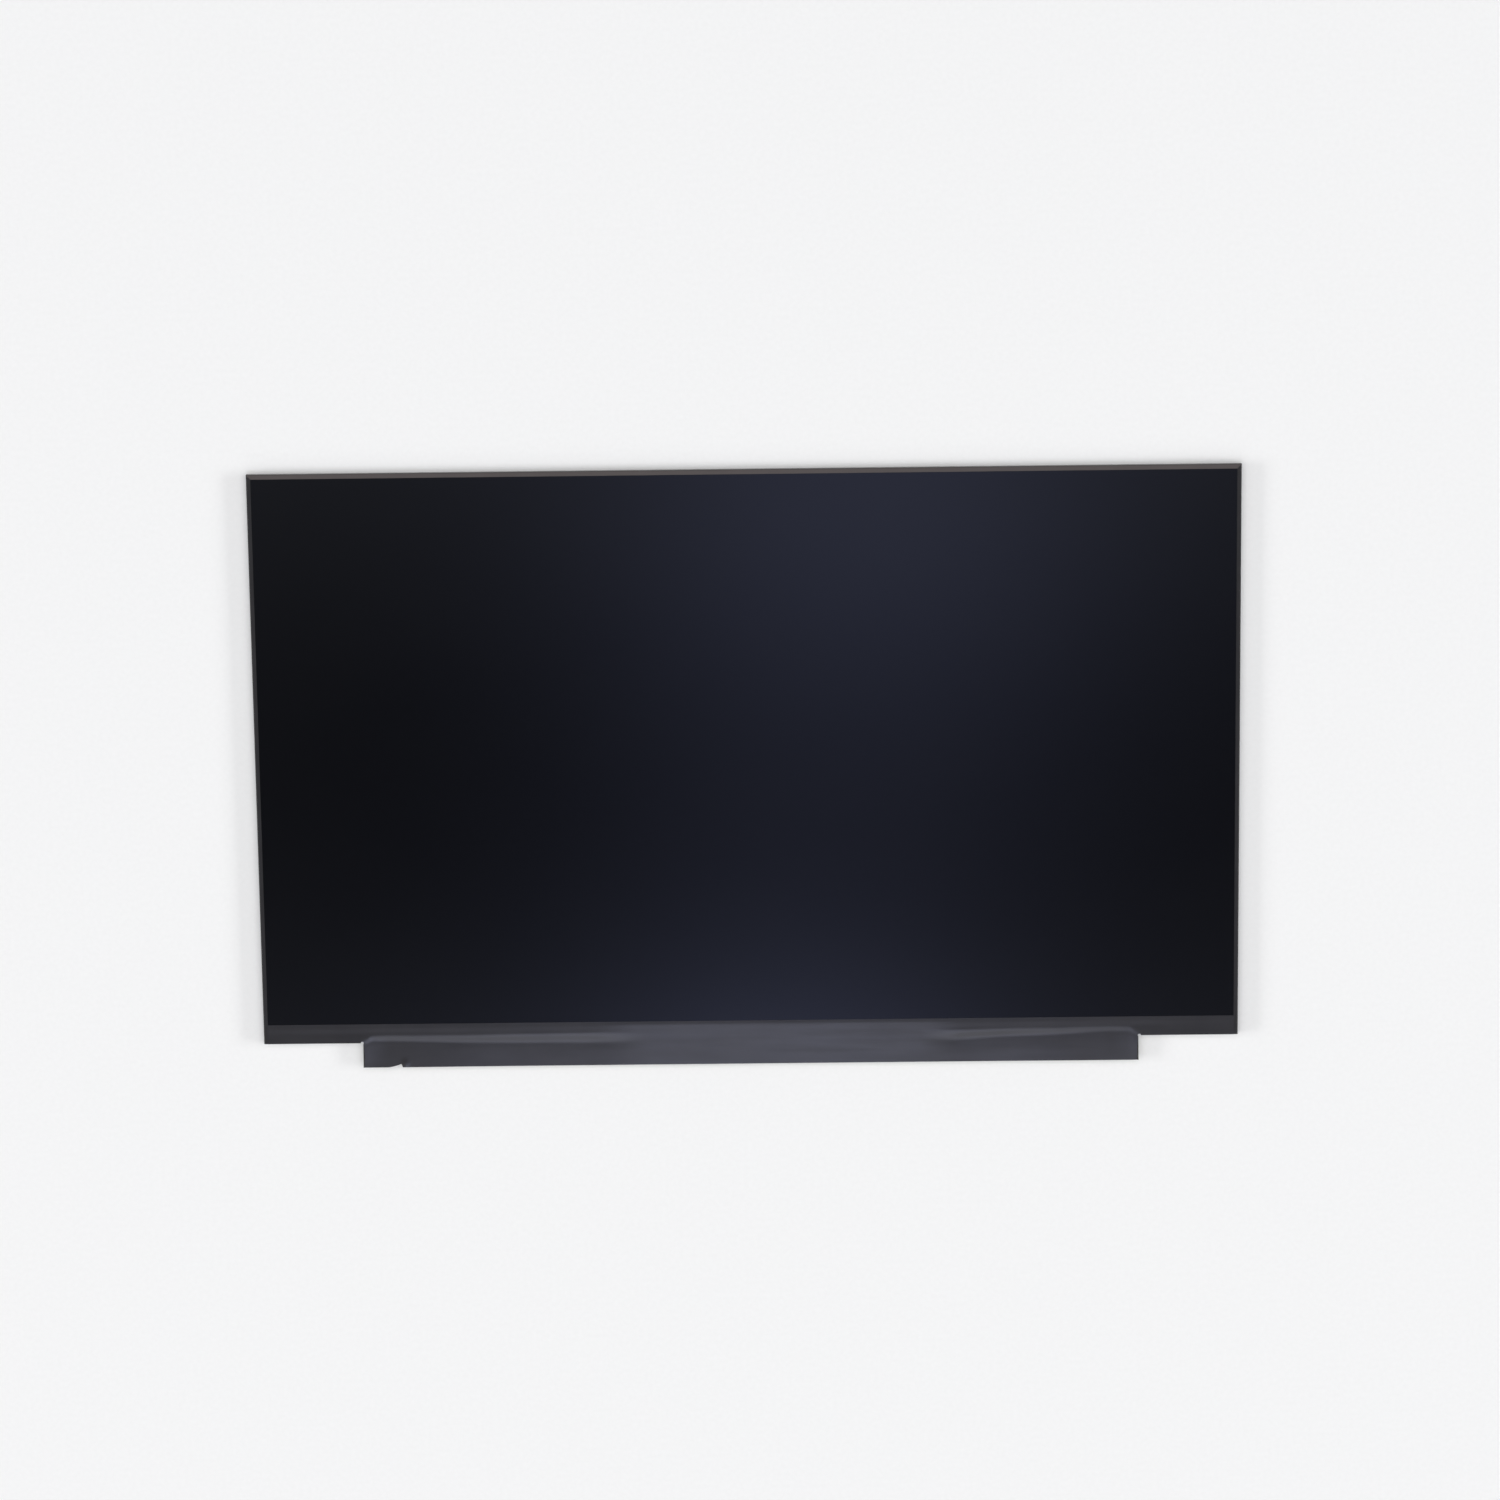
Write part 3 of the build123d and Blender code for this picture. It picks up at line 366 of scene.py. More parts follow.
MATERIALS = {
    "plate_aluminium": rolled_aluminium,
    "frame_white": lambda: grained(
        "frame_plastic", (0.78, 0.78, 0.76), (0.84, 0.84, 0.82), fine(0.6), (0.42, 0.55), 0.004 * MM),
    "reflector_white": lambda: grained(
        "reflector_film", (0.86, 0.86, 0.86), (0.92, 0.92, 0.92), fine(3.0), (0.25, 0.40), 0.003 * MM),
    "guide_clear": lambda: grained(
        "guide_acrylic", (0.82, 0.86, 0.88), (0.88, 0.91, 0.92), fine(2.0), (0.05, 0.12), 0.002 * MM,
        Transmission_Weight=0.9, IOR=1.49),
    "optical_film": lambda: grained(
        "optical_film", (0.80, 0.82, 0.84), (0.88, 0.89, 0.90), fine(1.0), (0.30, 0.45), 0.003 * MM),
    "tape_black": lambda: black_tape("black_tape"),
    # Top tape, whose front face is lighter and brownish
    "tape_faded": lambda: black_tape("lighter_front_tape", ((0.056, 0.045, 0.045), (0.064, 0.052, 0.052))),
    "polariser": anti_glare_film,
    "cell_glass": lambda: grained(
        "cell_glass", (0.015, 0.018, 0.018), (0.022, 0.026, 0.025), fine(4.0), (0.05, 0.10), 0.001 * MM),
    "film_amber": lambda: grained(
        "amber_film", (0.36, 0.15, 0.035), (0.46, 0.20, 0.05), fine(1.2), (0.28, 0.40), 0.004 * MM),
    "silicon": lambda: grained(
        "silicon", (0.055, 0.058, 0.066), (0.075, 0.078, 0.086), fine(0.8), (0.18, 0.28), 0.002 * MM),
    "board_green": solder_mask,
    "connector_plastic": lambda: grained(
        "connector_plastic", (0.70, 0.66, 0.55), (0.76, 0.72, 0.60), fine(0.4), (0.40, 0.52), 0.004 * MM),
    "shell_steel": lambda: grained(
        "shell_steel", (0.55, 0.55, 0.54), (0.64, 0.64, 0.63), (4 * MM, 0.15 * MM, 0.15 * MM), (0.24, 0.36),
        0.002 * MM, Metallic=1.0),
    "contact_gold": lambda: grained(
        "contact_gold", (0.78, 0.55, 0.22), (0.86, 0.62, 0.28), fine(0.3), (0.22, 0.34), 0.001 * MM,
        Metallic=1.0),
    "chip_black": lambda: grained(
        "chip_resin", (0.020, 0.020, 0.021), (0.030, 0.030, 0.031), fine(0.18), (0.46, 0.60), 0.006 * MM),
    "ferrite": lambda: grained(
        "ferrite", (0.060, 0.060, 0.062), (0.090, 0.090, 0.092), fine(0.25), (0.50, 0.68), 0.010 * MM),
    "capacitor_tan": lambda: grained(
        "capacitor_ceramic", (0.36, 0.24, 0.14), (0.44, 0.30, 0.18), fine(0.3), (0.40, 0.52), 0.004 * MM),
    "resistor_dark": lambda: grained(
        "resistor_glaze", (0.022, 0.022, 0.024), (0.034, 0.034, 0.036), fine(0.3), (0.22, 0.34), 0.004 * MM),
    "led_white": lambda: grained(
        "led_resin", (0.80, 0.80, 0.74), (0.86, 0.86, 0.80), fine(0.4), (0.40, 0.52), 0.004 * MM),
    "foil": lambda: grained(
        "crumpled_foil", (0.66, 0.66, 0.67), (0.76, 0.76, 0.77), fine(1.8), (0.26, 0.38), 0.012 * MM,
        Metallic=1.0),
    "solder": lambda: grained(
        "solder", (0.58, 0.58, 0.59), (0.70, 0.70, 0.71), fine(0.25), (0.18, 0.32), 0.006 * MM, Metallic=1.0),
    "track": lambda: grained(
        "covered_copper", (0.022, 0.135, 0.055), (0.030, 0.165, 0.070), fine(1.0), (0.22, 0.34), 0.002 * MM),
}
MADE = {}


def finish_of(kind):
    """Material of a kind, made when it is first asked for."""
    if kind not in MADE:
        MADE[kind] = MATERIALS[kind]()
    return MADE[kind]


def dress_nodes():
    """Gives every CAD node the material of its slot."""
    for name, node in NODES.items():
        node.data.materials.clear()
        node.data.materials.append(finish_of(SLOTS[name]))


# Shapes: each is a list of points and a list of faces

def new_piece(name, shape, slot, kind=None, replaced=()):
    """Mesh that rides on the panel, smooth but for sharp edges, in the slot's material or its own."""
    points, faces = shape
    mesh = bpy.data.meshes.new(name)
    mesh.from_pydata([tuple(p) for p in points], [], faces)
    work = bmesh.new()
    work.from_mesh(mesh)
    bmesh.ops.recalc_face_normals(work, faces=work.faces)
    work.to_mesh(mesh)
    work.free()
    mesh.materials.append(finish_of(kind or slot))
    mesh.shade_smooth()
    mesh.set_sharp_from_angle(angle=SHARP_ANGLE)
    piece = bpy.data.objects.new(name, mesh)
    bpy.context.scene.collection.objects.link(piece)
    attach(piece, "root")
    if replaced:
        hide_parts(*replaced)
    return piece


def joined(shapes):
    """One shape of several."""
    points, faces = [], []
    for more_points, more_faces in shapes:
        start = len(points)
        points += [tuple(p) for p in more_points]
        faces += [[i + start for i in face] for face in more_faces]
    return points, faces


def closed_sheet(outer, inner, faces):
    """Closed sheet from the faces of one side and the places of the same points on the other side."""
    count = len(outer)
    used = {pair for face in faces for pair in zip(face, face[1:] + face[:1])}
    rim = [(a, b) for a, b in used if (b, a) not in used]
    under = [[i + count for i in reversed(face)] for face in faces]
    walls = [[b, a, a + count, b + count] for a, b in sorted(rim)]
    return list(outer) + list(inner), faces + under + walls


def grid_faces(rows, columns):
    """Faces of a grid of points that are listed row by row."""
    return [
        [r * columns + c, r * columns + c + 1, (r + 1) * columns + c + 1, (r + 1) * columns + c]
        for r in range(rows - 1) for c in range(columns - 1)]


def box_shape(low, high, bevel=0.0):
    """Box between two corners, with rounded edges."""
    work = bmesh.new()
    bmesh.ops.create_cube(work, size=1.0)
    size = Vector(high) - Vector(low)
    middle = (Vector(high) + Vector(low)) / 2
    for vert in work.verts:
        vert.co = vert.co * size + middle
    if bevel:
        bmesh.ops.bevel(
            work, geom=work.edges[:], offset=bevel, segments=2, profile=0.5, affect="EDGES",
            clamp_overlap=True)
    work.verts.index_update()
    shape = [v.co.copy() for v in work.verts], [[v.index for v in f.verts] for f in work.faces]
    work.free()
    return shape


def prism(profile, across):
    """Closed prism: a flat profile of points, moved by a vector."""
    count = len(profile)
    points = [Vector(p) for p in profile] + [Vector(p) + across for p in profile]
    sides = [[i, (i + 1) % count, (i + 1) % count + count, i + count] for i in range(count)]
    return points, sides + [list(range(count))[::-1], [i + count for i in range(count)]]


def disc(centre, radius, depth, segments=16):
    """Thin round pad whose lower face is depth below its centre."""
    angles = [2 * math.pi * i / segments for i in range(segments)]
    ring = [centre + radius * Vector((math.cos(a), math.sin(a), 0)) for a in angles]
    return prism(ring, Vector((0, 0, -depth)))


def smoothstep(low, high, value):
    share = np.clip((np.asarray(value) - low) / (high - low), 0, 1)
    return share * share * (3 - 2 * share)


def ripple(x, y, size_x, size_y, seed):
    """Smooth noise from -1 to 1 with waves of these sizes, at arrays of places."""
    return np.array([noise.noise(Vector((a / size_x, b / size_y, seed))) for a, b in zip(x, y)])


# Cover tape

def along(points, step):
    """Points of a polyline, with further ones so that none are more than step apart."""
    result = []
    for start, end in zip(points, points[1:]):
        count = max(1, math.ceil((Vector(end) - Vector(start)).length / step))
        result += [tuple(Vector(start).lerp(Vector(end), i / count)) for i in range(count)]
    return result


def relief_arc(side):
    """Round nick in the inner corner, from the strip's edge round to the band's lower edge."""
    centre = Vector((side * (STRIP_X + RELIEF_R / 2), LOWER_EDGE))
    angles = np.linspace(-0.5, 1.0, 13) * math.pi
    points = [centre + RELIEF_R * Vector((-side * math.cos(a), math.sin(a))) for a in angles]
    return [tuple(p) for p in points if p.y >= LOWER_EDGE or abs(p.x) <= STRIP_X]


def torn_edge():
    """Ragged bite in the lower edge, from left to right."""
    left = TEAR_RIGHT - TEAR_L
    peak = TEAR_RIGHT - TEAR_LIP
    points = []
    for share in np.linspace(0, 1, 30):
        rag = TEAR_RAG * noise.noise(Vector((share * 14, 3.1, 0.0))) * math.sin(math.pi * share)
        points.append((left + share * (peak - left), COVER_LOW.y + TEAR_D * share ** TEAR_BEND + rag))
    for share in np.linspace(0, 1, 9)[1:]:
        rag = TEAR_RAG * noise.noise(Vector((share * 5, 7.7, 0.0))) * math.sin(math.pi * share)
        points.append((peak + share * TEAR_LIP + rag, COVER_LOW.y + TEAR_D * (1 - share)))
    return points


def cover_outline():
    """Outline of the cover tape, anticlockwise from its upper left corner."""
    left_nick = relief_arc(-1)[::-1]
    right_nick = relief_arc(1)
    tear = torn_edge()
    runs = [
        [(-BAND_X, COVER_HIGH.y), (-BAND_X, LOWER_EDGE), left_nick[0]],
        left_nick,
        [left_nick[-1], (-STRIP_X, COVER_LOW.y), tear[0]],
        tear,
        [tear[-1], (STRIP_X, COVER_LOW.y), right_nick[0]],
        right_nick,
        [right_nick[-1], (BAND_X, LOWER_EDGE), (BAND_X, COVER_HIGH.y), (-BAND_X, COVER_HIGH.y)],
    ]
    return [point for run in runs for point in along(run, TAPE_MESH)]


def ridge_at(x):
    """Upper edge, lower edge and drop of the ridge, which dips and fades at the strip's ends."""
    places = [row[0] for row in RIDGE]
    middle, width, drop = (np.interp(x / MM, places, column) * MM for column in list(zip(*RIDGE))[1:])
    end = STRIP_X - np.abs(x)
    dip = RIDGE_DIP * (1 - smoothstep(*RIDGE_DIP_OVER, end))
    fade = RIDGE_END_SHARE + (1 - RIDGE_END_SHARE) * smoothstep(0.0, RIDGE_FADE_OVER, end)
    return middle + width / 2 - dip, middle - width / 2 - dip, drop * fade


def tear_crumple(x, y):
    """Small lump beside the tear."""
    across = (x - TEAR_RIGHT - CRUMPLE_AT[0]) / CRUMPLE_SIZE[0]
    up = (y - COVER_LOW.y - CRUMPLE_AT[1]) / CRUMPLE_SIZE[1]
    return CRUMPLE_H * np.exp(-across ** 2 - up ** 2) * (1 + 0.6 * ripple(x, y, 0.9 * MM, 0.9 * MM, 9.1))


def cover_height(x, y):
    """Height of the cover tape's lower face."""
    inside = smoothstep(-0.2 * MM, 0.4 * MM, STRIP_X - np.abs(x))
    level_z = BAND_Z - smoothstep(0.0, TAPE_SAG_OVER, FILM_LOW.y - y) * TAPE_SAG
    crest, foot, drop = ridge_at(x)
    first = smoothstep(-crest, -foot, -y)
    second = np.clip((foot - y) / (foot - COVER_LOW.y), 0, 1) ** SKIRT_BEND
    edge_z = SKIRT_Z + SKIRT_RISE * smoothstep(*SKIRT_RISE_FROM, np.abs(x))
    creased_z = level_z - drop * first - (level_z - drop - edge_z) * second
    slope = np.clip((FILM_LOW.y - y) / (FILM_LOW.y - COVER_LOW.y), 0, 1)
    tent_z = BAND_Z - (BAND_Z - SKIRT_Z) * slope
    smooth_part = smoothstep(*SMOOTH_FROM, x) * smoothstep(*SMOOTH_TO, x)
    stepped_z = creased_z + (tent_z - creased_z) * smooth_part
    wave = sum(high * ripple(x, y, *place) for high, *place in COVER_WAVES)
    skirt = inside * smoothstep(0.0, 3.0 * MM, LOWER_EDGE - y)
    height = level_z + (stepped_z - level_z) * inside
    return height + wave * (0.2 + 0.8 * skirt) + tear_crumple(x, y) - TAPE_SINK


def cover_tape():
    """Black tape below the picture, stepping down over the driver films to the board, with its torn bite."""
    edge = cover_outline()
    tree = KDTree(len(edge))
    for i, (x, y) in enumerate(edge):
        tree.insert((x, y, 0), i)
    tree.balance()
    inner = []
    rows = np.arange(COVER_LOW.y, COVER_HIGH.y, 0.6 * TAPE_MESH)
    for row, y in enumerate(rows):
        half = STRIP_X if y < LOWER_EDGE else BAND_X
        for x in np.arange(-half + (row % 2) * TAPE_MESH / 2, half, 1.3 * TAPE_MESH):
            if tree.find((x, y, 0))[2] > 0.45 * TAPE_MESH:
                inner.append((x, y))
    loop = list(range(len(edge)))
    places, _, faces, _, _, _ = delaunay_2d_cdt([Vector(p) for p in edge + inner], [], [loop], 1, 1e-7)
    flat = np.array([tuple(p) for p in places])
    lower = np.column_stack([flat, cover_height(flat[:, 0], flat[:, 1])])
    shape = closed_sheet(lower + (0, 0, TAPE_T), lower, faces)
    return new_piece("cover_tape_film", shape, "tape_black", replaced=["cover_tape"])


# Edge tapes

def edge_profile(front_w, lift):
    """Outer line of a folded edge tape, from front leg to rear leg, as (distance inwards, height)."""
    top, low = RIM_HIGH.z, RIM_LOW.z
    turn = np.linspace(0, math.pi / 2, 7)
    leg_w = front_w - FRONT_BEND_R
    front = [(FRONT_BEND_R + s * leg_w, top + s * lift) for s in np.linspace(1, 0, 7)[:-1]]
    upper = [(FRONT_BEND_R * (1 - math.sin(a)), top - FRONT_BEND_R * (1 - math.cos(a))) for a in turn]
    wall = [(0.0, z) for z in np.linspace(top - FRONT_BEND_R, low + REAR_BEND_R, 7)[1:-1]]
    under = [(REAR_BEND_R * (1 - math.cos(a)), low + REAR_BEND_R * (1 - math.sin(a))) for a in turn]
    rear = [(n, low) for n in np.linspace(REAR_BEND_R, REAR_LEG_W, 9)[1:]]
    return front + upper + wall + under + rear


def inset(profile):
    """The same line on the tape's inner side."""
    line = [Vector(p) for p in profile]
    moved = []
    for i, point in enumerate(line):
        run = (line[min(i + 1, len(line) - 1)] - line[max(i - 1, 0)]).normalized()
        moved.append(point + TAPE_T * Vector((-run.y, run.x)))
    return [tuple(p) for p in moved]


def wander(place, n, z, front_w, seed):
    """Small uneven move of the tape, inwards and upwards, at a place of its section."""
    slow = noise.noise(Vector((place / (23 * MM), z / (1.2 * MM), seed)))
    quick = noise.noise(Vector((place / (9 * MM), 0.0, seed + 0.5)))
    if n > FRONT_BEND_R and z >= RIM_HIGH.z:
        return EDGE_WANDER * quick * n / front_w, LEG_WAVE * slow
    if n > REAR_BEND_R and z <= RIM_LOW.z:
        return EDGE_WANDER * quick * n / REAR_LEG_W, 0.0
    return WALL_DENT * abs(slow), 0.0


def edge_tape(name, node, start, end, front_w, lift, mitred, kind=None):
    """Tape folded round one edge, from start to end along its outer face. Mitred ends meet the next tape."""
    run = (end - start).normalized()
    inwards = Vector((-run.y, run.x, 0))
    if inwards.dot(start) > 0:
        inwards = -inwards
    length = (end - start).length
    seed = start.x / MM
    outer = edge_profile(front_w, lift)
    inner = inset(outer)
    count = int(length / RIM_STEP)
    outer_points, inner_points = [], []
    for row in range(count + 1):
        fade = min(1.0, row / 4, (count - row) / 4)
        for face, back in zip(outer, inner):
            shift, rise = wander(length * row / count, *face, front_w, seed)
            for (n, z), points in ((face, outer_points), (back, inner_points)):
                first = (n + MITRE_GAP) * mitred[0]
                last = length - (n + MITRE_GAP) * mitred[1]
                place = start + run * (first + (last - first) * row / count)
                points.append(place + inwards * (n + shift * fade) + Vector((0, 0, z + rise * fade)))
    shape = closed_sheet(outer_points, inner_points, grid_faces(count + 1, len(outer)))
    return new_piece(name, shape, "tape_black", kind, replaced=[node])


def edge_tapes():
    """Black tape round the left, right and top edges. The top one has a lighter, brownish front."""
    left, top = RIM_LOW.x, TOP_HIGH.y
    for name, x in (("left_edge", left), ("right_edge", -left)):
        start, end = Vector((x, LOWER_EDGE, 0)), Vector((x, top, 0))
        edge_tape(name + "_film", name + "_tape", start, end, RIM_SIDE_W, RIM_SIDE_LIFT, (0, 1))
    start, end = Vector((left, top, 0)), Vector((-left, top, 0))
    # The top tape has a lighter, brownish front
    edge_tape("top_edge_film", "top_edge_tape", start, end, RIM_TOP_W, RIM_TOP_LIFT, (1, 1), "tape_faded")


# Parts on the board's rear face

def solids_of(node):
    """Low and high corner of each separate solid in a CAD node."""
    work = bmesh.new()
    work.from_mesh(NODES[node].data)
    bmesh.ops.remove_doubles(work, verts=work.verts, dist=0.001 * MM)
    left, boxes = set(work.verts), []
    while left:
        start = left.pop()
        island, queue = [start], [start]
        while queue:
            for edge in queue.pop().link_edges:
                for vert in edge.verts:
                    if vert in left:
                        left.remove(vert)
                        island.append(vert)
                        queue.append(vert)
        places = np.array([tuple(v.co) for v in island])
        boxes.append((Vector(places.min(0)), Vector(places.max(0))))
    work.free()
    return sorted(boxes, key=lambda box: (round(box[0].x, 5), round(box[0].y, 5)))


def swapped(point, turned):
    """Point with x and y exchanged where a part is turned."""
    return Vector((point[1], point[0], point[2])) if turned else Vector(point)


def chip_part(low, high, cap_share):
    """Ceramic block, its two metal ends and their solder, for a small part that hangs from the board."""
    turned = high.y - low.y > high.x - low.x
    low, high = swapped(low, turned), swapped(high, turned)
    cap = cap_share * (high.x - low.x)
    skin = 0.02 * MM
    body = [box_shape(low + Vector((cap / 2, skin, skin)), high - Vector((cap / 2, skin, skin)), 0.03 * MM)]
    ends, solder = [], []
    for side in (-1, 1):
        outer = low.x if side < 0 else high.x
        near, far = sorted((outer, outer - side * cap))
        ends.append(box_shape((near, low.y, low.z), (far, high.y, high.z), 0.05 * MM))
        climb = 0.55 * (high.z - low.z)
        reach = 0.45 * climb + 0.08 * MM
        profile = [
            (outer - side * skin, low.y + skin, high.z), (outer + side * reach, low.y + skin, high.z),
            (outer + side * 0.35 * reach, low.y + skin, high.z - 0.28 * climb),
            (outer - side * skin, low.y + skin, high.z - climb)]
        solder.append(prism(profile, Vector((0, high.y - low.y - 2 * skin, 0))))
    shapes = []
    for shape in (joined(body), joined(ends + solder)):
        shapes.append(([swapped(p, turned) for p in shape[0]], shape[1]))
    return shapes


def chip_parts():
    """Small capacitors, resistors and the fuse, with metal ends and solder."""
    for node, cap_share in END_SHARES.items():
        made = [chip_part(low, high, cap_share) for low, high in solids_of(node)]
        slot = SLOTS[node]
        new_piece(node + "_bodies", joined([parts[0] for parts in made]), slot, replaced=[node])
        new_piece(node + "_ends", joined([parts[1] for parts in made]), "shell_steel", "solder")


def chip_pads():
    """Soldered pads that show round each chip's foot."""
    half_w, length = CHIP_PAD[0] / 2, CHIP_PAD[1]
    shapes = []
    for node in CHIPS:
        low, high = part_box(node)
        middle = (low + high) / 2
        for turned in (False, True):
            a_low, a_high, a_mid = (swapped(p, turned) for p in (low, high, middle))
            count = int((a_high.x - a_low.x - 0.7 * MM) / CHIP_PAD_PITCH) + 1
            for i in range(count):
                x = a_mid.x + (i - (count - 1) / 2) * CHIP_PAD_PITCH
                for side in (-1, 1):
                    outer = (a_low.y if side < 0 else a_high.y) + side * CHIP_PAD_REACH
                    near, far = sorted((outer, outer - side * length))
                    corner = Vector((x - half_w, near, BOARD_LOW.z - 2 * PAD_T))
                    shape = box_shape(corner, (x + half_w, far, BOARD_LOW.z), 0.02 * MM)
                    shapes.append(([swapped(p, turned) for p in shape[0]], shape[1]))
    new_piece("chip_pads", joined(shapes), "shell_steel", "solder")


def coil_ends():
    """Metal feet at both ends of each coil."""
    shapes = []
    for node in ("power_inductors", "backlight_inductor"):
        for low, high in solids_of(node):
            inset_y = COIL_FOOT_INSET * (high.y - low.y)
            for side in (-1, 1):
                outer = (low.x if side < 0 else high.x) + side * COIL_FOOT_OUT
                near, far = sorted((outer, outer - side * COIL_FOOT_L))
                corner = (near, low.y + inset_y, BOARD_LOW.z - COIL_FOOT_T)
                shapes.append(box_shape(corner, (far, high.y - inset_y, BOARD_LOW.z), 0.03 * MM))
    new_piece("coil_ends", joined(shapes), "shell_steel", "solder")


def track(points):
    """Flat copper track along a polyline on the board's rear face."""
    shapes = []
    for start, end in zip(points, points[1:]):
        run = (Vector(end) - Vector(start)).normalized()
        side = Vector((-run.y, run.x)) * TRACK_W / 2
        corners = [Vector(start) - side, Vector(end) - side, Vector(end) + side, Vector(start) + side]
        ring = [Vector((c.x, c.y, BOARD_LOW.z)) for c in corners]
        shapes.append(prism(ring, Vector((0, 0, -TRACK_T))))
    return joined(shapes)


def board_tracks():
    """Bundles of tracks along both long edges of the board, with short slants, and round pads beside them."""
    draw = random.Random(11)
    tracks, pads = [], []
    spans = (
        (BOARD_HIGH.y - TRACK_EDGE, -1, -96 * MM, 108 * MM),
        (BOARD_LOW.y + TRACK_EDGE, 1, -98 * MM, -4.5 * MM),
        (BOARD_LOW.y + TRACK_EDGE, 1, 4.5 * MM, 110 * MM))
    for edge_y, inwards, left, right in spans:
        bends = sorted(draw.uniform(left + 6 * MM, right - 6 * MM) for _ in range(4))
        for i in range(TRACK_COUNT):
            y = edge_y + inwards * i * TRACK_PITCH
            start = left + draw.uniform(0, 5) * MM
            points = [(start, y)]
            step = inwards * TRACK_PITCH
            for bend in bends:
                at = bend - i * TRACK_PITCH * 0.41 * (1 if step > 0 else -1)
                points += [(at, y), (at + abs(step), y + step)]
                y += step
                step = -step
            end = right - draw.uniform(0, 5) * MM
            points.append((end, y))
            tracks.append(track(points))
            pads.append(disc(Vector((start, points[0][1], BOARD_LOW.z)), 0.16 * MM, PAD_T))
            pads.append(disc(Vector((end, y, BOARD_LOW.z)), 0.16 * MM, PAD_T))
    for x in np.arange(-134, 136, 4.5) * MM:
        y = (BOARD_LOW.y + BOARD_HIGH.y) / 2 + draw.choice((-3.0, -2.7, 2.6, 2.9)) * MM
        middle = Vector((x + draw.uniform(-1, 1) * MM, y, BOARD_LOW.z))
        pads.append(disc(middle, draw.choice((0.2, 0.4)) * MM, PAD_T))
    new_piece("board_tracks", joined(tracks), "board_green", "track")
    new_piece("board_pads", joined(pads), "contact_gold")


# Scene

def build_camera():
    """Camera turned to its target with +Y upwards in the picture, then rolled."""
    back = (CAMERA_AT - CAMERA_TO).normalized()
    right = Vector((0, 1, 0)).cross(back).normalized()
    turn = Matrix((right, back.cross(right), back)).transposed() @ Matrix.Rotation(CAMERA_ROLL, 3, "Z")
    lens = bpy.data.cameras.new("camera")
    lens.sensor_width = SENSOR_W
    lens.lens = SENSOR_W * FOCAL_PX / PHOTO_PX
    lens.clip_start = 0.1
    lens.clip_end = 50
    camera = bpy.data.objects.new("camera", lens)
    camera.matrix_world = Matrix.Translation(CAMERA_AT) @ turn.to_4x4()
    bpy.context.scene.collection.objects.link(camera)
    bpy.context.scene.camera = camera


def build_room():
    """World: a level for each height of the ray, dim overhead, with soft bluish lobes in the dim patch."""
    world = bpy.data.worlds.new("room")
    world.use_nodes = True
    tree = Tree(world.node_tree)
    ray = tree.add("TexCoord").outputs["Generated"]
    height = tree.add("SeparateXYZ", {0: ray}).outputs["Z"]
    level = ROOM_LOWEST
    for low, high, change in ROOM_STEPS:
        level = tree.math("ADD", tree.ramp(height, low, high, 0.0, change), level)
    slope = tree.vector("DIVIDE", ray, tree.grey(tree.math("MAXIMUM", height, 0.05)))

    def offset_from(place, size):
        """Offset of the ray's slope from a place, in units of a size."""
        return tree.vector("DIVIDE", tree.vector("SUBTRACT", slope, (*place, 1.0)), (*size, 1.0))

    distance = tree.vector("LENGTH", offset_from(PATCH_AT, PATCH_SHAPE))
    share = tree.ramp(distance, PATCH_INNER, PATCH_OUTER, PATCH_SHARE, 1.0)
    light = tree.grey(tree.math("MULTIPLY", level, share))
    for lobe in LOBES:
        offset = offset_from(lobe["at"], lobe["size"])
        fall = tree.math("MULTIPLY", tree.vector("DOT_PRODUCT", offset, offset), -0.5)
        glow = tree.math("MULTIPLY", tree.math("EXPONENT", fall), lobe["level"])
        light = tree.vector("ADD", light, tree.vector("MULTIPLY", tree.grey(glow), COOL))
    tree.put(light, world.node_tree.nodes["Background"].inputs["Color"])
    bpy.context.scene.world = world


def build_lamps():
    """Soft lamps that face the panel. Glossy faces don't mirror them."""
    for place in LAMPS:
        light = bpy.data.lights.new(place["name"], "AREA")
        light.shape = "RECTANGLE"
        light.size, light.size_y = place["size"]
        light.energy = place["power"]
        lamp = bpy.data.objects.new(place["name"], light)
        lamp.location = place["at"]
        lamp.rotation_euler = (-lamp.location).to_track_quat("-Z", "Y").to_euler()
        lamp.visible_glossy = False
        bpy.context.scene.collection.objects.link(lamp)


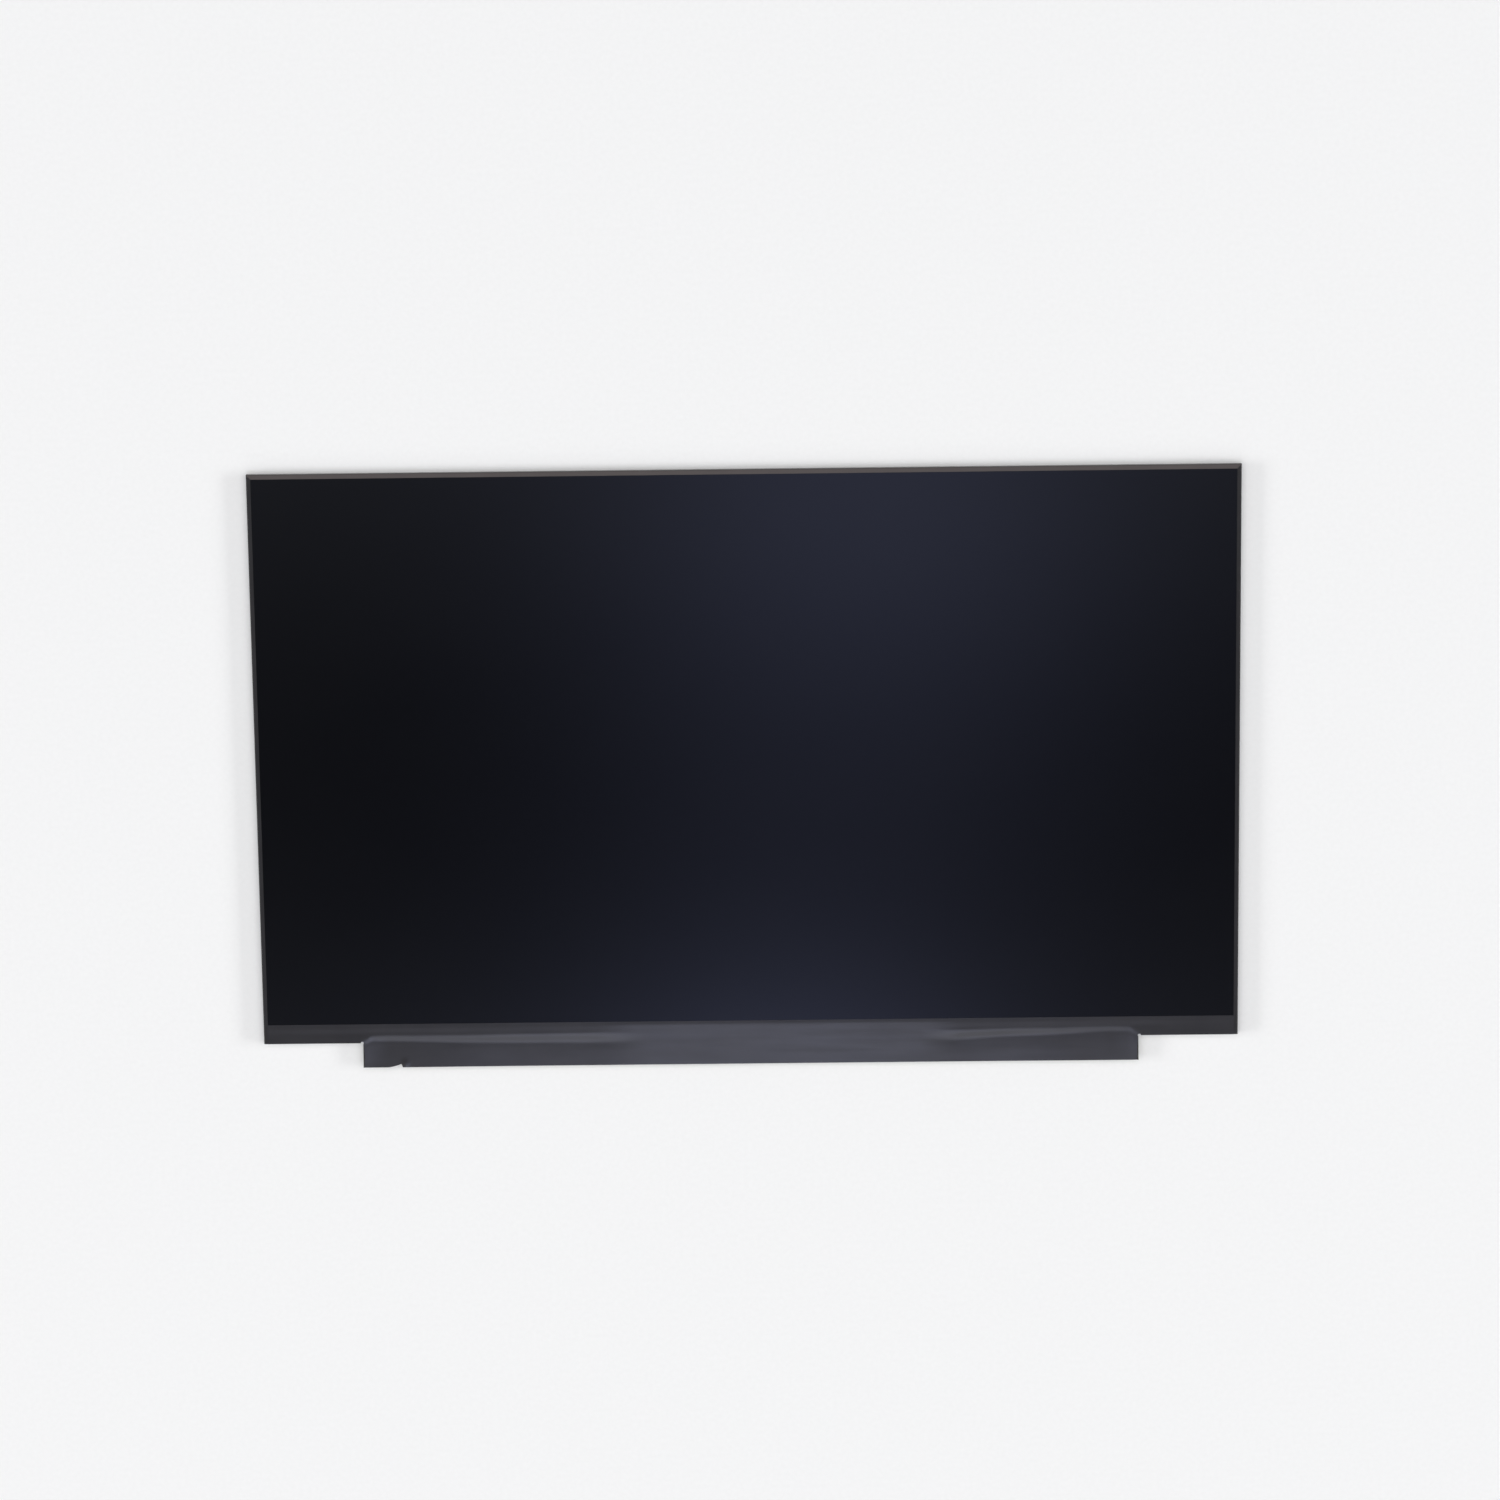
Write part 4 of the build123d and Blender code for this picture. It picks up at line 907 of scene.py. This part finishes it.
def stage_plane(name, size, height, material):
    """Level square that isn't part of the panel."""
    half = size / 2
    mesh = bpy.data.meshes.new(name)
    corners = [(-half, -half, 0), (half, -half, 0), (half, half, 0), (-half, half, 0)]
    mesh.from_pydata(corners, [], [(0, 1, 2, 3)])
    mesh.materials.append(material)
    plane = bpy.data.objects.new(name, mesh)
    plane.location.z = height
    bpy.context.scene.collection.objects.link(plane)
    return plane


def build_floor():
    """Pale floor under the panel, clear from below and for the light that reaches the panel's rear."""
    material, tree, shader = new_material("floor_paper", {"Roughness": 0.9, "Specular IOR Level": 0.0})
    tone = tree.mottled(tree.noise(fine(1.5), 3.0), (0.905, 0.905, 0.905), (0.925, 0.925, 0.925))
    tree.put(tone, shader.inputs["Base Color"])
    behind = tree.add("NewGeometry").outputs["Backfacing"]
    path = tree.add("LightPath")
    near = tree.math("LESS_THAN", path.outputs["Ray Length"], FLOOR_NEAR)
    passing = tree.math("MAXIMUM", tree.math("MAXIMUM", behind, near), path.outputs["Is Shadow Ray"])
    clear = tree.add("MixShader", {
        0: passing, 1: shader.outputs["BSDF"], 2: tree.add("BsdfTransparent").outputs[0]})
    tree.put(clear.outputs[0], material.node_tree.nodes["Material Output"].inputs["Surface"])
    stage_plane("floor", FLOOR_SIZE, CAD_BOUNDS[0].z - 0.01 * MM, material)


def build_ceiling():
    """Plain pale ceiling behind the panel in views from below. It gives no light."""
    sockets = {"Base Color": rgba((0.0, 0.0, 0.0)), "Specular IOR Level": 0.0}
    sockets.update({"Emission Color": rgba((1.0, 1.0, 1.0)), "Emission Strength": CEILING_LEVEL})
    ceiling = stage_plane("ceiling", CEILING_SIZE, CEILING_Z, new_material("ceiling_paper", sockets)[0])
    ceiling.visible_diffuse = False
    ceiling.visible_glossy = False
    ceiling.visible_transmission = False
    ceiling.visible_shadow = False


dress_nodes()
cover_tape()
edge_tapes()
chip_parts()
chip_pads()
coil_ends()
board_tracks()
build_floor()
build_ceiling()
build_lamps()
build_room()
build_camera()
bpy.context.scene.view_settings.view_transform = "Standard"
